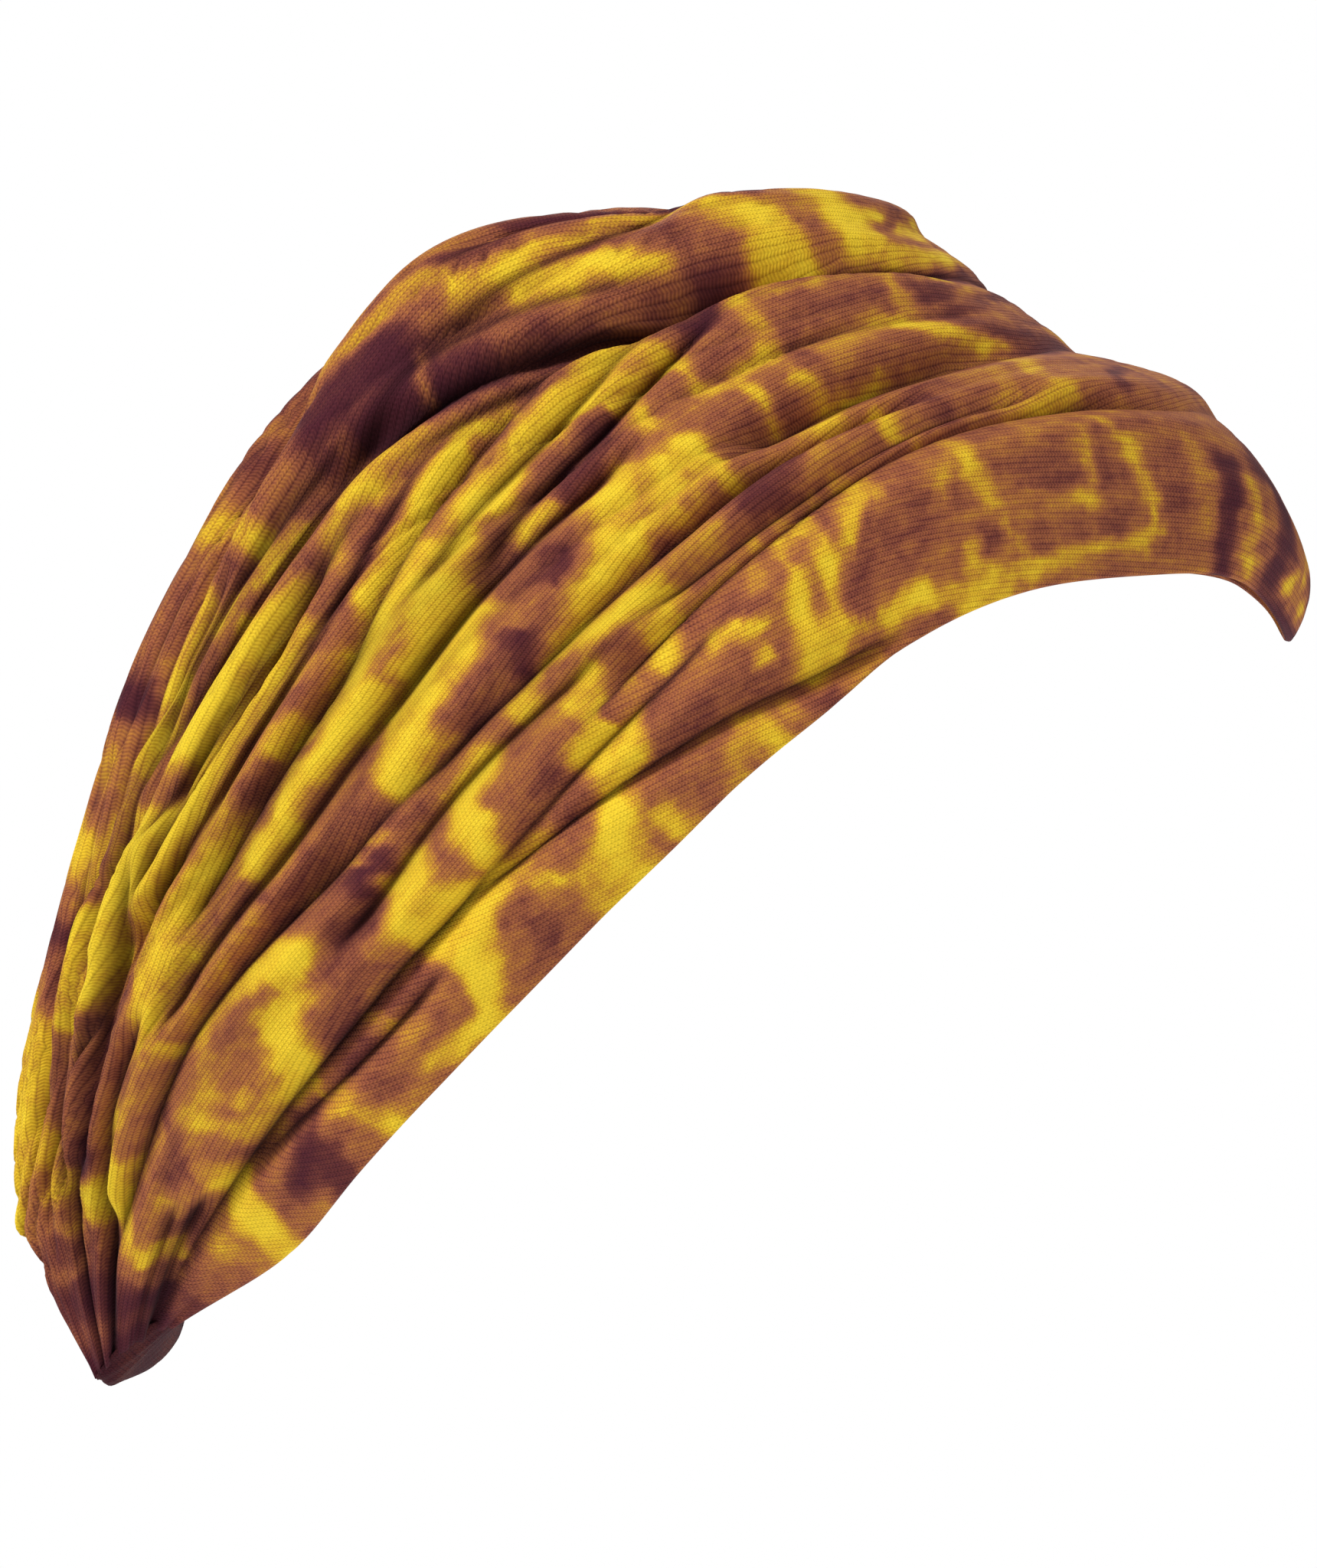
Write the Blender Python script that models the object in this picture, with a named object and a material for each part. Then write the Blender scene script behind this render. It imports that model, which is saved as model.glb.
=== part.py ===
"""A wide tie-dye headband of cotton jersey, in the form it takes on a head.

Metres, +Z up. The wearer faces -Y and the wearer's right side is at -X. The origin is the point on
top of the head where the inside of the band rests.
"""
import bpy
import numpy as np

MM = 0.001

# Driving dimensions, in millimetres
WALL = 1.6                # two layers of jersey, folded at the front edge
SEAM_GAP = 0.3            # clearance between the band's gathered ends and the casing
CASING_THICKNESS = 2.0
CASING_DROP = 1.5         # how far the casing goes on below the gathered ends before it turns
CASING_TURN = 3.0         # length in which it turns to cross the nape
CASING_BOW = 0.3          # further sag at its middle
GATHER_PLEATS = 13        # small pleats pressed together at each end
GATHER_HEIGHT = 0.9
FAR_EDGE_SHIFT = 0.014    # the left side sits a little further back than the right

# Mesh density
STEPS_PER_STATION = 2
STEPS_ACROSS = 58
CASING_STEPS_ACROSS = 10
CASING_STEPS_TURNING = 5
CASING_STEPS_STRAIGHT = 6

# Lines that run along the band from the nape to the middle of the forehead or crown.
# across: 0 at the front edge and 1 at the back edge; half widths are distances from the middle plane.
GUIDE_COLUMNS = ("name", "across", "half_width", "nape_half_width")
GUIDES = [
    ("front_edge", 0.00, 75.0, 27.0),
    ("front_roll", 0.11, 77.0, 26.5),
    ("brow_crease", 0.22, 76.5, 26.0),
    ("middle", 0.42, 69.0, 25.0),
    ("crown_crease", 0.66, 55.0, 23.5),
    ("crest", 0.82, 42.0, 22.0),
    ("back_edge", 1.00, 31.0, 21.0),
]

# How far the band has opened out from the nape, and how much of its width is left near the middle plane
SPREAD_COLUMNS = ("opening", "width_left")
SPREADS = [
    (0.00, 1.00),
    (0.32, 1.00),
    (0.60, 1.00),
    (0.80, 1.00),
    (0.93, 1.00),
    (1.00, 1.00),
    (1.00, 1.00),
    (1.00, 0.95),
    (1.00, 0.85),
    (1.00, 0.66),
    (1.00, 0.40),
    (1.00, 0.00),
]

# Sections across the band, a row for each station from the nape to the middle plane.
# Each pair is y and z of a guide: front edge, front roll, brow crease, middle, crown crease, crest and
# back edge.
SECTIONS = [
    (76.6, -148.3, 78.1, -148.8, 79.8, -149.5, 84.1, -152.2, 86.9, -154.9, 87.7, -155.6, 87.7, -156.2),
    (61.5, -138.7, 67.2, -136.3, 72.6, -133.9, 82.3, -131.8, 90.9, -130.7, 95.2, -133.4, 98.4, -134.8),
    (50.5, -126.4, 56.8, -122.1, 62.9, -117.8, 78.0, -116.2, 90.0, -113.5, 95.0, -113.5, 99.0, -115.6),
    (33.3, -108.1, 40.9, -104.7, 48.4, -101.1, 68.8, -101.1, 86.0, -95.8, 91.6, -94.6, 95.4, -98.0),
    (17.1, -91.5, 25.2, -88.6, 33.3, -85.5, 54.8, -84.5, 80.1, -80.2, 87.4, -79.0, 90.4, -80.4),
    (2.3, -76.8, 9.5, -71.6, 17.2, -66.2, 38.7, -61.9, 69.9, -60.8, 77.8, -54.5, 82.8, -55.2),
    (-12.9, -63.8, -5.9, -55.6, 1.1, -47.4, 21.5, -44.1, 51.6, -35.5, 61.8, -25.9, 69.0, -29.8),
    (-26.9, -52.6, -21.5, -42.5, -15.1, -33.9, 1.1, -28.3, 26.9, -16.3, 40.0, 1.4, 58.5, -21.8),
    (-40.9, -46.8, -37.1, -35.2, -32.3, -24.8, -17.2, -19.6, 3.2, -3.1, 13.9, 8.8, 52.0, -14.8),
    (-57.0, -44.4, -55.1, -31.8, -50.8, -21.0, -32.8, -13.4, -15.3, 2.2, -6.5, 9.6, 47.0, -9.3),
    (-72.2, -45.4, -74.2, -32.9, -65.2, -21.2, -43.7, -11.6, -24.8, 3.2, -15.8, 8.5, 43.5, -6.3),
    (-79.0, -53.6, -81.3, -41.5, -69.9, -22.0, -49.2, -11.8, -28.6, 3.0, -18.9, 7.4, 42.0, -5.3),
]

# Creases between the folds. first and last are stations; a to e place the crease across the band at equal
# steps between them; depth and reach are in millimetres; a positive lean lifts the side towards the back.
CREASE_COLUMNS = ("name", "first", "last", "a", "b", "c", "d", "e", "depth", "reach", "lean")
CREASES = [
    ("lower_front", 0.0, 4.0, 0.270, 0.212, 0.203, 0.212, 0.224, 4.0, 4.0, 0.8),
    ("lower_front_end", 3.8, 6.0, 0.224, 0.220, 0.214, 0.200, 0.193, 2.2, 3.5, 0.4),
    ("brow", 5.0, 11.0, 0.256, 0.226, 0.223, 0.230, 0.245, 4.6, 4.5, -0.8),
    ("front_tuck", 3.7, 6.9, 0.218, 0.170, 0.108, 0.050, 0.017, 2.6, 3.5, 0.7),
    ("front_pleat", 1.4, 3.3, 0.205, 0.166, 0.128, 0.143, 0.150, 2.6, 3.5, 0.7),
    ("brow_fold", 5.6, 8.2, 0.305, 0.283, 0.275, 0.277, 0.268, 2.8, 3.5, -0.5),
    ("temple", 3.2, 5.6, 0.315, 0.340, 0.349, 0.328, 0.305, 2.4, 4.0, 0.5),
    ("second_roll", 4.2, 8.3, 0.407, 0.366, 0.368, 0.371, 0.362, 2.8, 4.0, -0.4),
    ("second_roll_top", 7.0, 11.0, 0.418, 0.437, 0.422, 0.411, 0.413, 4.2, 4.5, -0.8),
    ("middle_deep", 0.5, 4.4, 0.490, 0.415, 0.427, 0.424, 0.402, 4.4, 4.0, -0.7),
    ("middle_fold", 2.4, 7.0, 0.497, 0.497, 0.485, 0.497, 0.518, 2.6, 3.5, 0.5),
    ("upper_slant", 5.8, 8.0, 0.508, 0.538, 0.563, 0.595, 0.620, 2.6, 3.0, 0.5),
    ("long_slant", 3.2, 7.1, 0.525, 0.542, 0.552, 0.600, 0.665, 3.6, 3.5, -0.6),
    ("short_slant", 5.6, 7.6, 0.545, 0.562, 0.585, 0.615, 0.648, 2.2, 3.0, 0.4),
    ("nape_hook", 0.8, 2.5, 0.650, 0.590, 0.550, 0.522, 0.517, 3.8, 3.5, -0.7),
    ("nape_hollow", 1.2, 3.3, 0.700, 0.635, 0.602, 0.612, 0.622, 5.0, 5.0, -0.5),
    ("flank_fold", 2.9, 6.5, 0.620, 0.625, 0.612, 0.625, 0.668, 2.4, 3.0, 0.5),
    ("crown", 6.5, 11.0, 0.655, 0.655, 0.645, 0.560, 0.545, 6.0, 4.5, 0.9),
    ("upper_flank", 3.9, 6.1, 0.702, 0.672, 0.660, 0.660, 0.668, 2.2, 3.0, 0.4),
    ("under_crown", 2.9, 5.8, 0.725, 0.720, 0.715, 0.693, 0.680, 2.8, 3.5, -0.5),
    ("crown_lower", 4.9, 7.3, 0.727, 0.710, 0.700, 0.703, 0.680, 3.6, 4.0, 0.7),
    ("crest_nape", 1.0, 2.7, 0.805, 0.775, 0.745, 0.710, 0.690, 3.8, 4.0, -0.6),
    ("crest_fold", 4.5, 6.3, 0.785, 0.777, 0.765, 0.745, 0.725, 2.0, 3.0, 0.3),
    ("back_layer", 1.6, 6.2, 0.860, 0.790, 0.800, 0.836, 0.805, 3.4, 4.0, -0.6),
    ("crown_ridge", 7.2, 10.7, 0.545, 0.540, 0.525, 0.490, 0.465, 1.6, 4.0, 0.3),
    ("crown_top", 6.6, 8.3, 0.752, 0.748, 0.752, 0.768, 0.800, 2.0, 3.5, 0.5),
    ("crest_top", 6.8, 11.0, 0.800, 0.810, 0.840, 0.860, 0.880, 2.4, 5.0, -0.4),
    ("back_middle", 5.5, 11.0, 0.900, 0.905, 0.925, 0.930, 0.940, 2.0, 5.0, 0.4),
]


def spline(knots, values, at):
    """Smooth curve through a row of values at each knot."""
    knots = np.asarray(knots, float)
    values = np.asarray(values, float)
    at = np.asarray(at, float)
    step = np.diff(knots)
    rise = np.diff(values, axis=0) / step[:, None]
    slope = np.empty_like(values)
    slope[1:-1] = (rise[:-1] * step[1:, None] + rise[1:] * step[:-1, None]) / (step[1:] + step[:-1])[:, None]
    slope[0] = 1.5 * rise[0] - 0.5 * slope[1]
    slope[-1] = 1.5 * rise[-1] - 0.5 * slope[-2]
    left = np.clip(np.searchsorted(knots, at, side="right") - 1, 0, len(knots) - 2)
    u = ((at - knots[left]) / step[left])[:, None]
    span = step[left][:, None]
    start = (2 * u ** 3 - 3 * u ** 2 + 1) * values[left] + (u ** 3 - 2 * u ** 2 + u) * span * slope[left]
    end = (3 * u ** 2 - 2 * u ** 3) * values[left + 1] + (u ** 3 - u ** 2) * span * slope[left + 1]
    return start + end


def base_surface(stations, across):
    """Points of the smooth form under the folds, for stations 0 (right nape) to 22 (left nape)."""
    middle = len(SECTIONS) - 1
    guide_across = [guide[1] for guide in GUIDES]
    half_width = np.array([guide[2] for guide in GUIDES])
    nape_width = np.array([guide[3] for guide in GUIDES])
    opening = np.array([row[0] for row in SPREADS])[:, None]
    width_left = np.array([row[1] for row in SPREADS])[:, None]
    x = -(nape_width + (half_width - nape_width) * opening) * width_left
    yz = np.array(SECTIONS).reshape(len(SECTIONS), len(GUIDES), 2)
    right = np.dstack([x, yz])
    left = right[-2::-1] * np.array([-1.0, 1.0, 1.0])
    guide_points = np.concatenate([right, left])

    count = len(guide_points)
    lines = spline(np.arange(float(count)), guide_points.reshape(count, -1), stations)
    lines = lines.reshape(len(stations), len(GUIDES), 3)
    shift = FAR_EDGE_SHIFT * np.clip((stations - middle) / 2, 0, 1)
    points = np.empty((len(stations), len(across), 3))
    for row, moved in enumerate(shift[:, None] + (1 - 2 * shift[:, None]) * across):
        points[row] = spline(guide_across, lines[row], moved)
    return points


def smooth_step(value, low, high):
    """0 below low, 1 above high, smooth between."""
    u = np.clip((value - low) / (high - low), 0, 1)
    return u * u * (3 - 2 * u)


def fold_height(stations, across, section_length):
    """Height of the cloth over the smooth form, in millimetres, from the crease table and the gathers."""
    middle = len(SECTIONS) - 1
    near = np.minimum(stations, 2 * middle - stations)
    left = np.where(stations > middle, np.clip((middle - near) / 3, 0, 1), 0)
    height = np.zeros((len(stations), len(across)))
    for index, row in enumerate(CREASES):
        _, first, last, *places, depth, reach, lean = row
        knots = np.linspace(first, last, len(places))
        centre = spline(knots, np.array(places)[:, None], np.clip(near, first, last))[:, 0]
        centre = centre + left * 0.012 * np.sin(1.9 * index + 0.8 * near)
        fade = 0.45 * min(1.0, (last - first) / 2)
        start = smooth_step(near, first - 0.1, first + fade) if first > 0.3 else np.ones_like(near)
        end = 1 - smooth_step(near, last - fade, last + 0.1) if last < middle else np.ones_like(near)
        strength = depth * start * end * (1 + left * 0.3 * np.sin(2.3 * index + 1))
        strength = strength * np.clip(section_length / 80, 0.15, 1)
        reach_here = reach * np.clip(section_length / 110, 0.15, 1)
        distance = (across[None, :] - centre[:, None]) * section_length[:, None]
        nearness = np.exp(-np.sqrt(distance ** 2 + 0.09) / reach_here[:, None])
        side = np.tanh(distance / (0.25 * reach_here[:, None]))
        height += strength[:, None] * nearness * (0.45 * lean * side - 1)
    gather = 1 - smooth_step(near, 0.1, 1.6)
    ripple = np.abs(np.sin(np.pi * GATHER_PLEATS * across)) ** 0.7
    height += GATHER_HEIGHT * gather[:, None] * (ripple[None, :] - 0.5)
    return height


def grid_normals(points):
    """Unit normals of a grid of points, facing away from the head."""
    along = np.gradient(points, axis=0)
    over = np.gradient(points, axis=1)
    normal = np.cross(along, over)
    return normal / np.linalg.norm(normal, axis=2, keepdims=True)


def band_surfaces():
    """Outer and inner grids of the band, in millimetres."""
    station_count = 2 * (len(SECTIONS) - 1)
    stations = np.linspace(0, station_count, station_count * STEPS_PER_STATION + 1)
    across = np.linspace(0, 1, STEPS_ACROSS + 1)
    points = base_surface(stations, across)
    section_length = np.linalg.norm(np.diff(points, axis=1), axis=2).sum(axis=1)
    height = fold_height(stations, across, section_length)
    normal = grid_normals(points)
    slope = np.gradient(height, axis=1) * STEPS_ACROSS / section_length[:, None]
    wall = WALL * np.minimum(np.sqrt(1 + slope ** 2), 1.5)
    outer = points + normal * height[..., None]
    inner = points + normal * (height - wall)[..., None]
    return outer, inner


def add_material(node, colour, roughness):
    """One plain cloth material for a piece."""
    material = bpy.data.materials.new(node.name + "_cloth")
    material.use_nodes = True
    shader = material.node_tree.nodes["Principled BSDF"]
    shader.inputs["Base Color"].default_value = (*colour, 1.0)
    shader.inputs["Roughness"].default_value = roughness
    shader.inputs["Metallic"].default_value = 0.0
    node.data.materials.append(material)


def add_mesh(name, points, faces):
    """A new object from points in millimetres."""
    mesh = bpy.data.meshes.new(name)
    mesh.from_pydata([tuple(point * MM) for point in points], [], faces)
    mesh.validate()
    node = bpy.data.objects.new(name, mesh)
    bpy.context.scene.collection.objects.link(node)
    return node


def shell_faces(rows, columns):
    """Faces of a closed shell: an outer grid, an inner grid after it, and four rims between them."""
    def outer(i, j):
        return i * columns + j

    def inner(i, j):
        return rows * columns + i * columns + j

    faces = []
    last_row = rows - 1
    last_column = columns - 1
    for i in range(last_row):
        for j in range(last_column):
            faces.append((outer(i, j), outer(i + 1, j), outer(i + 1, j + 1), outer(i, j + 1)))
            faces.append((inner(i, j), inner(i, j + 1), inner(i + 1, j + 1), inner(i + 1, j)))
    for i in range(last_row):
        faces.append((outer(i, 0), inner(i, 0), inner(i + 1, 0), outer(i + 1, 0)))
        faces.append((outer(i, last_column), outer(i + 1, last_column),
                      inner(i + 1, last_column), inner(i, last_column)))
    for j in range(last_column):
        faces.append((outer(0, j), outer(0, j + 1), inner(0, j + 1), inner(0, j)))
        faces.append((outer(last_row, j), inner(last_row, j),
                      inner(last_row, j + 1), outer(last_row, j + 1)))
    return faces


def build_band():
    """The gathered jersey band, one closed wall."""
    outer, inner = band_surfaces()
    rows, columns = outer.shape[:2]
    points = np.vstack([outer.reshape(-1, 3), inner.reshape(-1, 3)])
    band = add_mesh("band", points, shell_faces(rows, columns))
    add_material(band, (0.55, 0.30, 0.07), 0.85)


def gathered_end(outer, inner, across):
    """Smooth line along the middle of the band's right end, and how far the pleats reach past it."""
    every = np.linspace(0, 1, outer.shape[1])
    middle = 0.5 * (outer[0] + inner[0])
    curve = [np.polyfit(every, middle[:, k], 4) for k in range(3)]
    line = np.stack([np.polyval(part, across) for part in curve], axis=1)
    over = line[-1] - line[0]
    away = np.cross(grid_normals(0.5 * (outer + inner))[0].mean(axis=0), over)
    away /= np.linalg.norm(away)
    smooth = np.stack([np.polyval(part, every) for part in curve], axis=1)
    mirror = np.array([-1.0, 1.0, 1.0])
    ends = (outer[0], inner[0], outer[-1] * mirror, inner[-1] * mirror)
    reach = max(((end - smooth) @ away).max() for end in ends)
    return line, away, reach


def build_nape_casing():
    """The narrow casing under the nape that joins the two gathered ends."""
    across = 0.5 - 0.5 * np.cos(np.linspace(0.12, np.pi - 0.12, CASING_STEPS_ACROSS + 1))
    line, away, reach = gathered_end(*band_surfaces(), across)
    seam = line + away * (reach + SEAM_GAP)
    below = np.array([0.0, -0.57, -0.82])
    corner = seam + away * (CASING_DROP / (away @ below))
    turned = corner + np.array([CASING_TURN, 0.0, 0.0])
    centre = line[0] + (line[-1] - line[0]) * across[:, None]
    centre = (centre + below * (reach + SEAM_GAP + CASING_DROP + CASING_BOW)) * np.array([0.0, 1.0, 1.0])
    half = []
    for t in np.linspace(0, 1, CASING_STEPS_TURNING + 1):
        half.append((1 - t) ** 2 * seam + 2 * t * (1 - t) * corner + t * t * turned)
    for t in np.linspace(0, 1, CASING_STEPS_STRAIGHT + 1)[1:]:
        row = turned + (centre - turned) * smooth_step(t, 0, 1)
        row[:, 0] = turned[:, 0] * (1 - t)
        half.append(row)
    mirror = np.array([-1.0, 1.0, 1.0])
    rows = np.array([row * mirror for row in half[:-1]] + half[::-1])
    thickness = CASING_THICKNESS * (1 - 0.5 * np.abs(2 * across - 1) ** 6)[None, :, None]
    normal = grid_normals(rows)
    outer = rows + 0.5 * thickness * normal
    inner = rows - 0.5 * thickness * normal
    points = np.vstack([outer.reshape(-1, 3), inner.reshape(-1, 3)])
    casing = add_mesh("nape_casing", points, shell_faces(*rows.shape[:2]))
    add_material(casing, (0.12, 0.03, 0.02), 0.85)


def main():
    """Clears the scene and builds both pieces."""
    for old in list(bpy.data.objects):
        bpy.data.objects.remove(old, do_unlink=True)
    build_band()
    build_nape_casing()


main()
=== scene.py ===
"""Looks of a wide tie-dye headband of cotton jersey, dressed over its CAD frame.

Metres, +Z up. The wearer faces -Y and the wearer's right side, nearest the camera, is at -X.
The cloth is worked out in millimetres. A place on it is a station along the band, from 0 where it is
gathered on the right to 11 at the middle plane, and a share of its width, from 0 at the front edge to 1
at the back edge.
"""
import math
import bpy
import numpy as np
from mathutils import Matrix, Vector


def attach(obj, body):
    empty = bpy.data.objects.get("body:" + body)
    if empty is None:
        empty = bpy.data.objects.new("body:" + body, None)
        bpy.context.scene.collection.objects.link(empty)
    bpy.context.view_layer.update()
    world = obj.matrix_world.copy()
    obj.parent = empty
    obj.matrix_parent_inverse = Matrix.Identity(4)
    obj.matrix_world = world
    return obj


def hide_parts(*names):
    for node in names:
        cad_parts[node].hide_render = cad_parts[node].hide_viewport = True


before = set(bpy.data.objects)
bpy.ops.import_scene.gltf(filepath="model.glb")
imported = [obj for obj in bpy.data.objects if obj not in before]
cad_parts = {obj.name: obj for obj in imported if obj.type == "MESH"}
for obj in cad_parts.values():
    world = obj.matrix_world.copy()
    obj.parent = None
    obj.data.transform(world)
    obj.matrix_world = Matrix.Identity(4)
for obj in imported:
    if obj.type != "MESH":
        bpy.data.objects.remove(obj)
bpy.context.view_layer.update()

MM = 0.001

# Cloth, in millimetres
WALL = 1.6  # two layers of jersey, folded at the front edge
EDGE_RADIUS = 0.8
EDGE_FULLNESS = 0.12  # share of the wall that is left at the very edge
EDGE_WAVE_REACH = 9.0  # how far the unevenness of an edge goes into the cloth
STATION_LENGTH = 23.4
FAR_EDGE_SHIFT = 0.014  # how much narrower the left side is at each edge, as a share of the width
FAR_EDGE_BLEND = 2.0  # stations from the middle plane to where it has its full effect
CORNER_STATION = 1.0  # corner of the back edge above the nape
CORNER_REACH = 0.13  # its half length in stations
CORNER_SIZE = 1.6
CORNER_FADE = 5.0
NOTCH_SHARE = 0.7  # depth of the notch below it, as a share of its size
GATHER_PLEATS = 9
GATHER_HEIGHT = 0.7
GATHER_ENDS = (0.1, 1.6)  # stations between which the gathers run out
PLEAT_ROUNDNESS = 0.7

# Casing, in millimetres
CASING_THICKNESS = 2.0
CASING_TUCK = 1.0  # how far it reaches up into the band's gathered ends
CASING_DROP = 1.8
CASING_TURN = 3.0
CASING_BOW = 0.3
CASING_DOWN = (0.0, -0.57, -0.82)  # direction in which it hangs from the gathered ends
CASING_SKEW = 0.1  # how far its lowest line lies from its middle, as a share of half its width
CASING_TIP = 0.05  # angle, in radians, that is left out at each side of its width
CASING_DYE = 0.96
CASING_SHADE = 0.6  # painted shade, as under the folds, that darkens its dye, from 0 to 1
CASING_PUCKER = 0.25  # share of its thickness that is lost between puckers
CASING_PUCKERS = 9

# Creases. Heights and slips are shares of a crease's depth, and reaches are shares of its reach.
LEAN_HEIGHT = 0.45  # how far a full lean lifts one side and lowers the other
LEAN_REACH = 0.32
ROLL_HEIGHT = 0.45  # how much the cloth swells beside a crease
ROLL_REACH = 1.3
OVERHANG = 0.42  # how far the lifted side of a crease slips over it
LIP_REACH = 0.55
LIP_RISE = (-0.3, 0.8)  # where the overhanging lip begins and is full, in millimetres
CREASE_ROUNDING = 0.15  # softens the bottom, in square millimetres
CREASE_FADE = 0.45  # stations over which a long crease rises at its ends
CREASE_LEAD = 0.1  # and how many stations before its end it starts
GATHERED = 0.3  # creases that begin below this station come out of the gathers
MIDDLE_FADE = 0.85  # share of its depth that a crease loses at the middle plane
MIDDLE_FADE_ENDS = (2.6, 0.6)  # stations from the middle plane between which it is lost
FULL_DEPTH_WIDTH = 80.0  # width of the band, in millimetres, from which creases have their full depth
FULL_REACH_WIDTH = 110.0  # and their full reach
LEAST_SHARE = 0.15  # share that is left of both where the band is narrow
LEFT_STRAY = 0.012  # how far the left side's creases stray from the mirror image, across
LEFT_CHANGE = 0.3  # and how much their depth differs
LEFT_BLEND = 3.0  # stations from the middle plane to where both have their full effect
HOLLOW_REACH = 0.85  # width of the painted shade at the bottom of a crease, in millimetres
HOLLOW_SHARE = 0.4  # darkness of this painted shade for each millimetre of depth

# Small creases that run along the folds, between the large ones
FINE_DEPTH = 1.0
FINE_WIDTH = 0.24  # how broad they are, as a share of their noise's range
FINE_STRETCH = 0.055  # their width as a share of their length
FINE_SWAY = 2.0
FINE_SWAY_LENGTH = 31.0
FINE_LEAST = 0.12  # share of the depth that they keep away from the flank
# painted shade at the bottoms of the small creases, for each share of FINE_DEPTH
FINE_HOLLOW = 0.35
SLENDER_SHARE = 0.8  # depth of the slender strands near the nape, as a share of FINE_DEPTH
SLENDER_WIDTH = 0.3
FINE_START = (0.2, 1.2)  # stations over which they all rise from the gathers
FLANK_ACROSS = (0.24, 0.46)  # where the flank begins and is full, across
FLANK_STATIONS = (7.0, 10.0)  # and where it starts to end and ends, along
NAPE_ACROSS = (0.44, 0.62)  # the same for the part with slender strands
NAPE_STATIONS = (4.5, 7.5)

# Mesh density
STEPS_ALONG = 462
OUTER_STEPS_ACROSS = 160
INNER_STEPS_ACROSS = 52
SPACING_SAMPLES = 1500
SPACING_BLUR = 9  # rows over which the spacing across is evened out
CREASE_CROWDING = 1.3  # how much closer the points lie for each millimetre of a crease's depth,
CROWDING_DEPTH = 3.0  # up to this depth
CROWDING_REACH = 1.2  # and within this distance in millimetres
EDGE_CROWDING = 5.0
EVEN_SAMPLES = 80  # places across at which the band's width is measured
LINES_SKIPPED = 8  # its length is measured along every eighth line
END_SAMPLES = 60  # places across at which the casing follows the band's end
CASING_STEPS_ACROSS = 26
CASING_STEPS_TURNING = 12
CASING_STEPS_STRAIGHT = 26

# Soft noise of the cloth and its dye. The waves are in millimetres.
WAVE_COLUMNS = ("name", "seed", "shortest", "longest", "count", "strength")
WAVES = {
    "dye_wander_along": (3, 6.0, 16.0, 10, 1.0),
    "dye_wander_across": (4, 6.0, 16.0, 10, 1.0),
    "dye_fray_along": (8, 3.0, 6.0, 10, 0.45),
    "dye_fray_across": (9, 3.0, 6.0, 10, 0.30),
    "dye_ground": (5, 5.0, 14.0, 10, 0.06),
    "dye_streaks": (6, 3.0, 9.0, 10, 0.05),
    "dye_clouds": (13, 4.0, 11.0, 10, 0.09),
    "dye_softness": (12, 18.0, 45.0, 10, 0.3),
    "edge_wave": (7, 18.0, 45.0, 10, 0.22),
    "small_creases": (11, 7.0, 15.0, 14, 1.0),
    "slender_strands": (12, 4.2, 7.5, 14, 1.0),
}

# Lines that run along the band from the nape to the middle of the forehead or crown.
# across: 0 at the front edge and 1 at the back edge; half widths are distances from the middle plane.
GUIDE_COLUMNS = ("name", "across", "half_width", "nape_half_width")
GUIDES = [
    ("front_edge", 0.00, 75.0, 27.0),
    ("front_roll", 0.11, 77.0, 26.5),
    ("brow_crease", 0.22, 76.5, 26.0),
    ("middle", 0.42, 69.0, 25.0),
    ("crown_crease", 0.66, 55.0, 23.5),
    ("crest", 0.82, 42.0, 22.0),
    ("back_edge", 1.00, 31.0, 21.0),
]

# How far the band has opened out from the nape, and how much of its width is left near the middle plane
SPREAD_COLUMNS = ("opening", "width_left")
SPREADS = [
    (0.00, 1.00),
    (0.32, 1.00),
    (0.60, 1.00),
    (0.80, 1.00),
    (0.93, 1.00),
    (1.00, 1.00),
    (1.00, 1.00),
    (1.00, 0.95),
    (1.00, 0.85),
    (1.00, 0.66),
    (1.00, 0.40),
    (1.00, 0.00),
]

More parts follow.
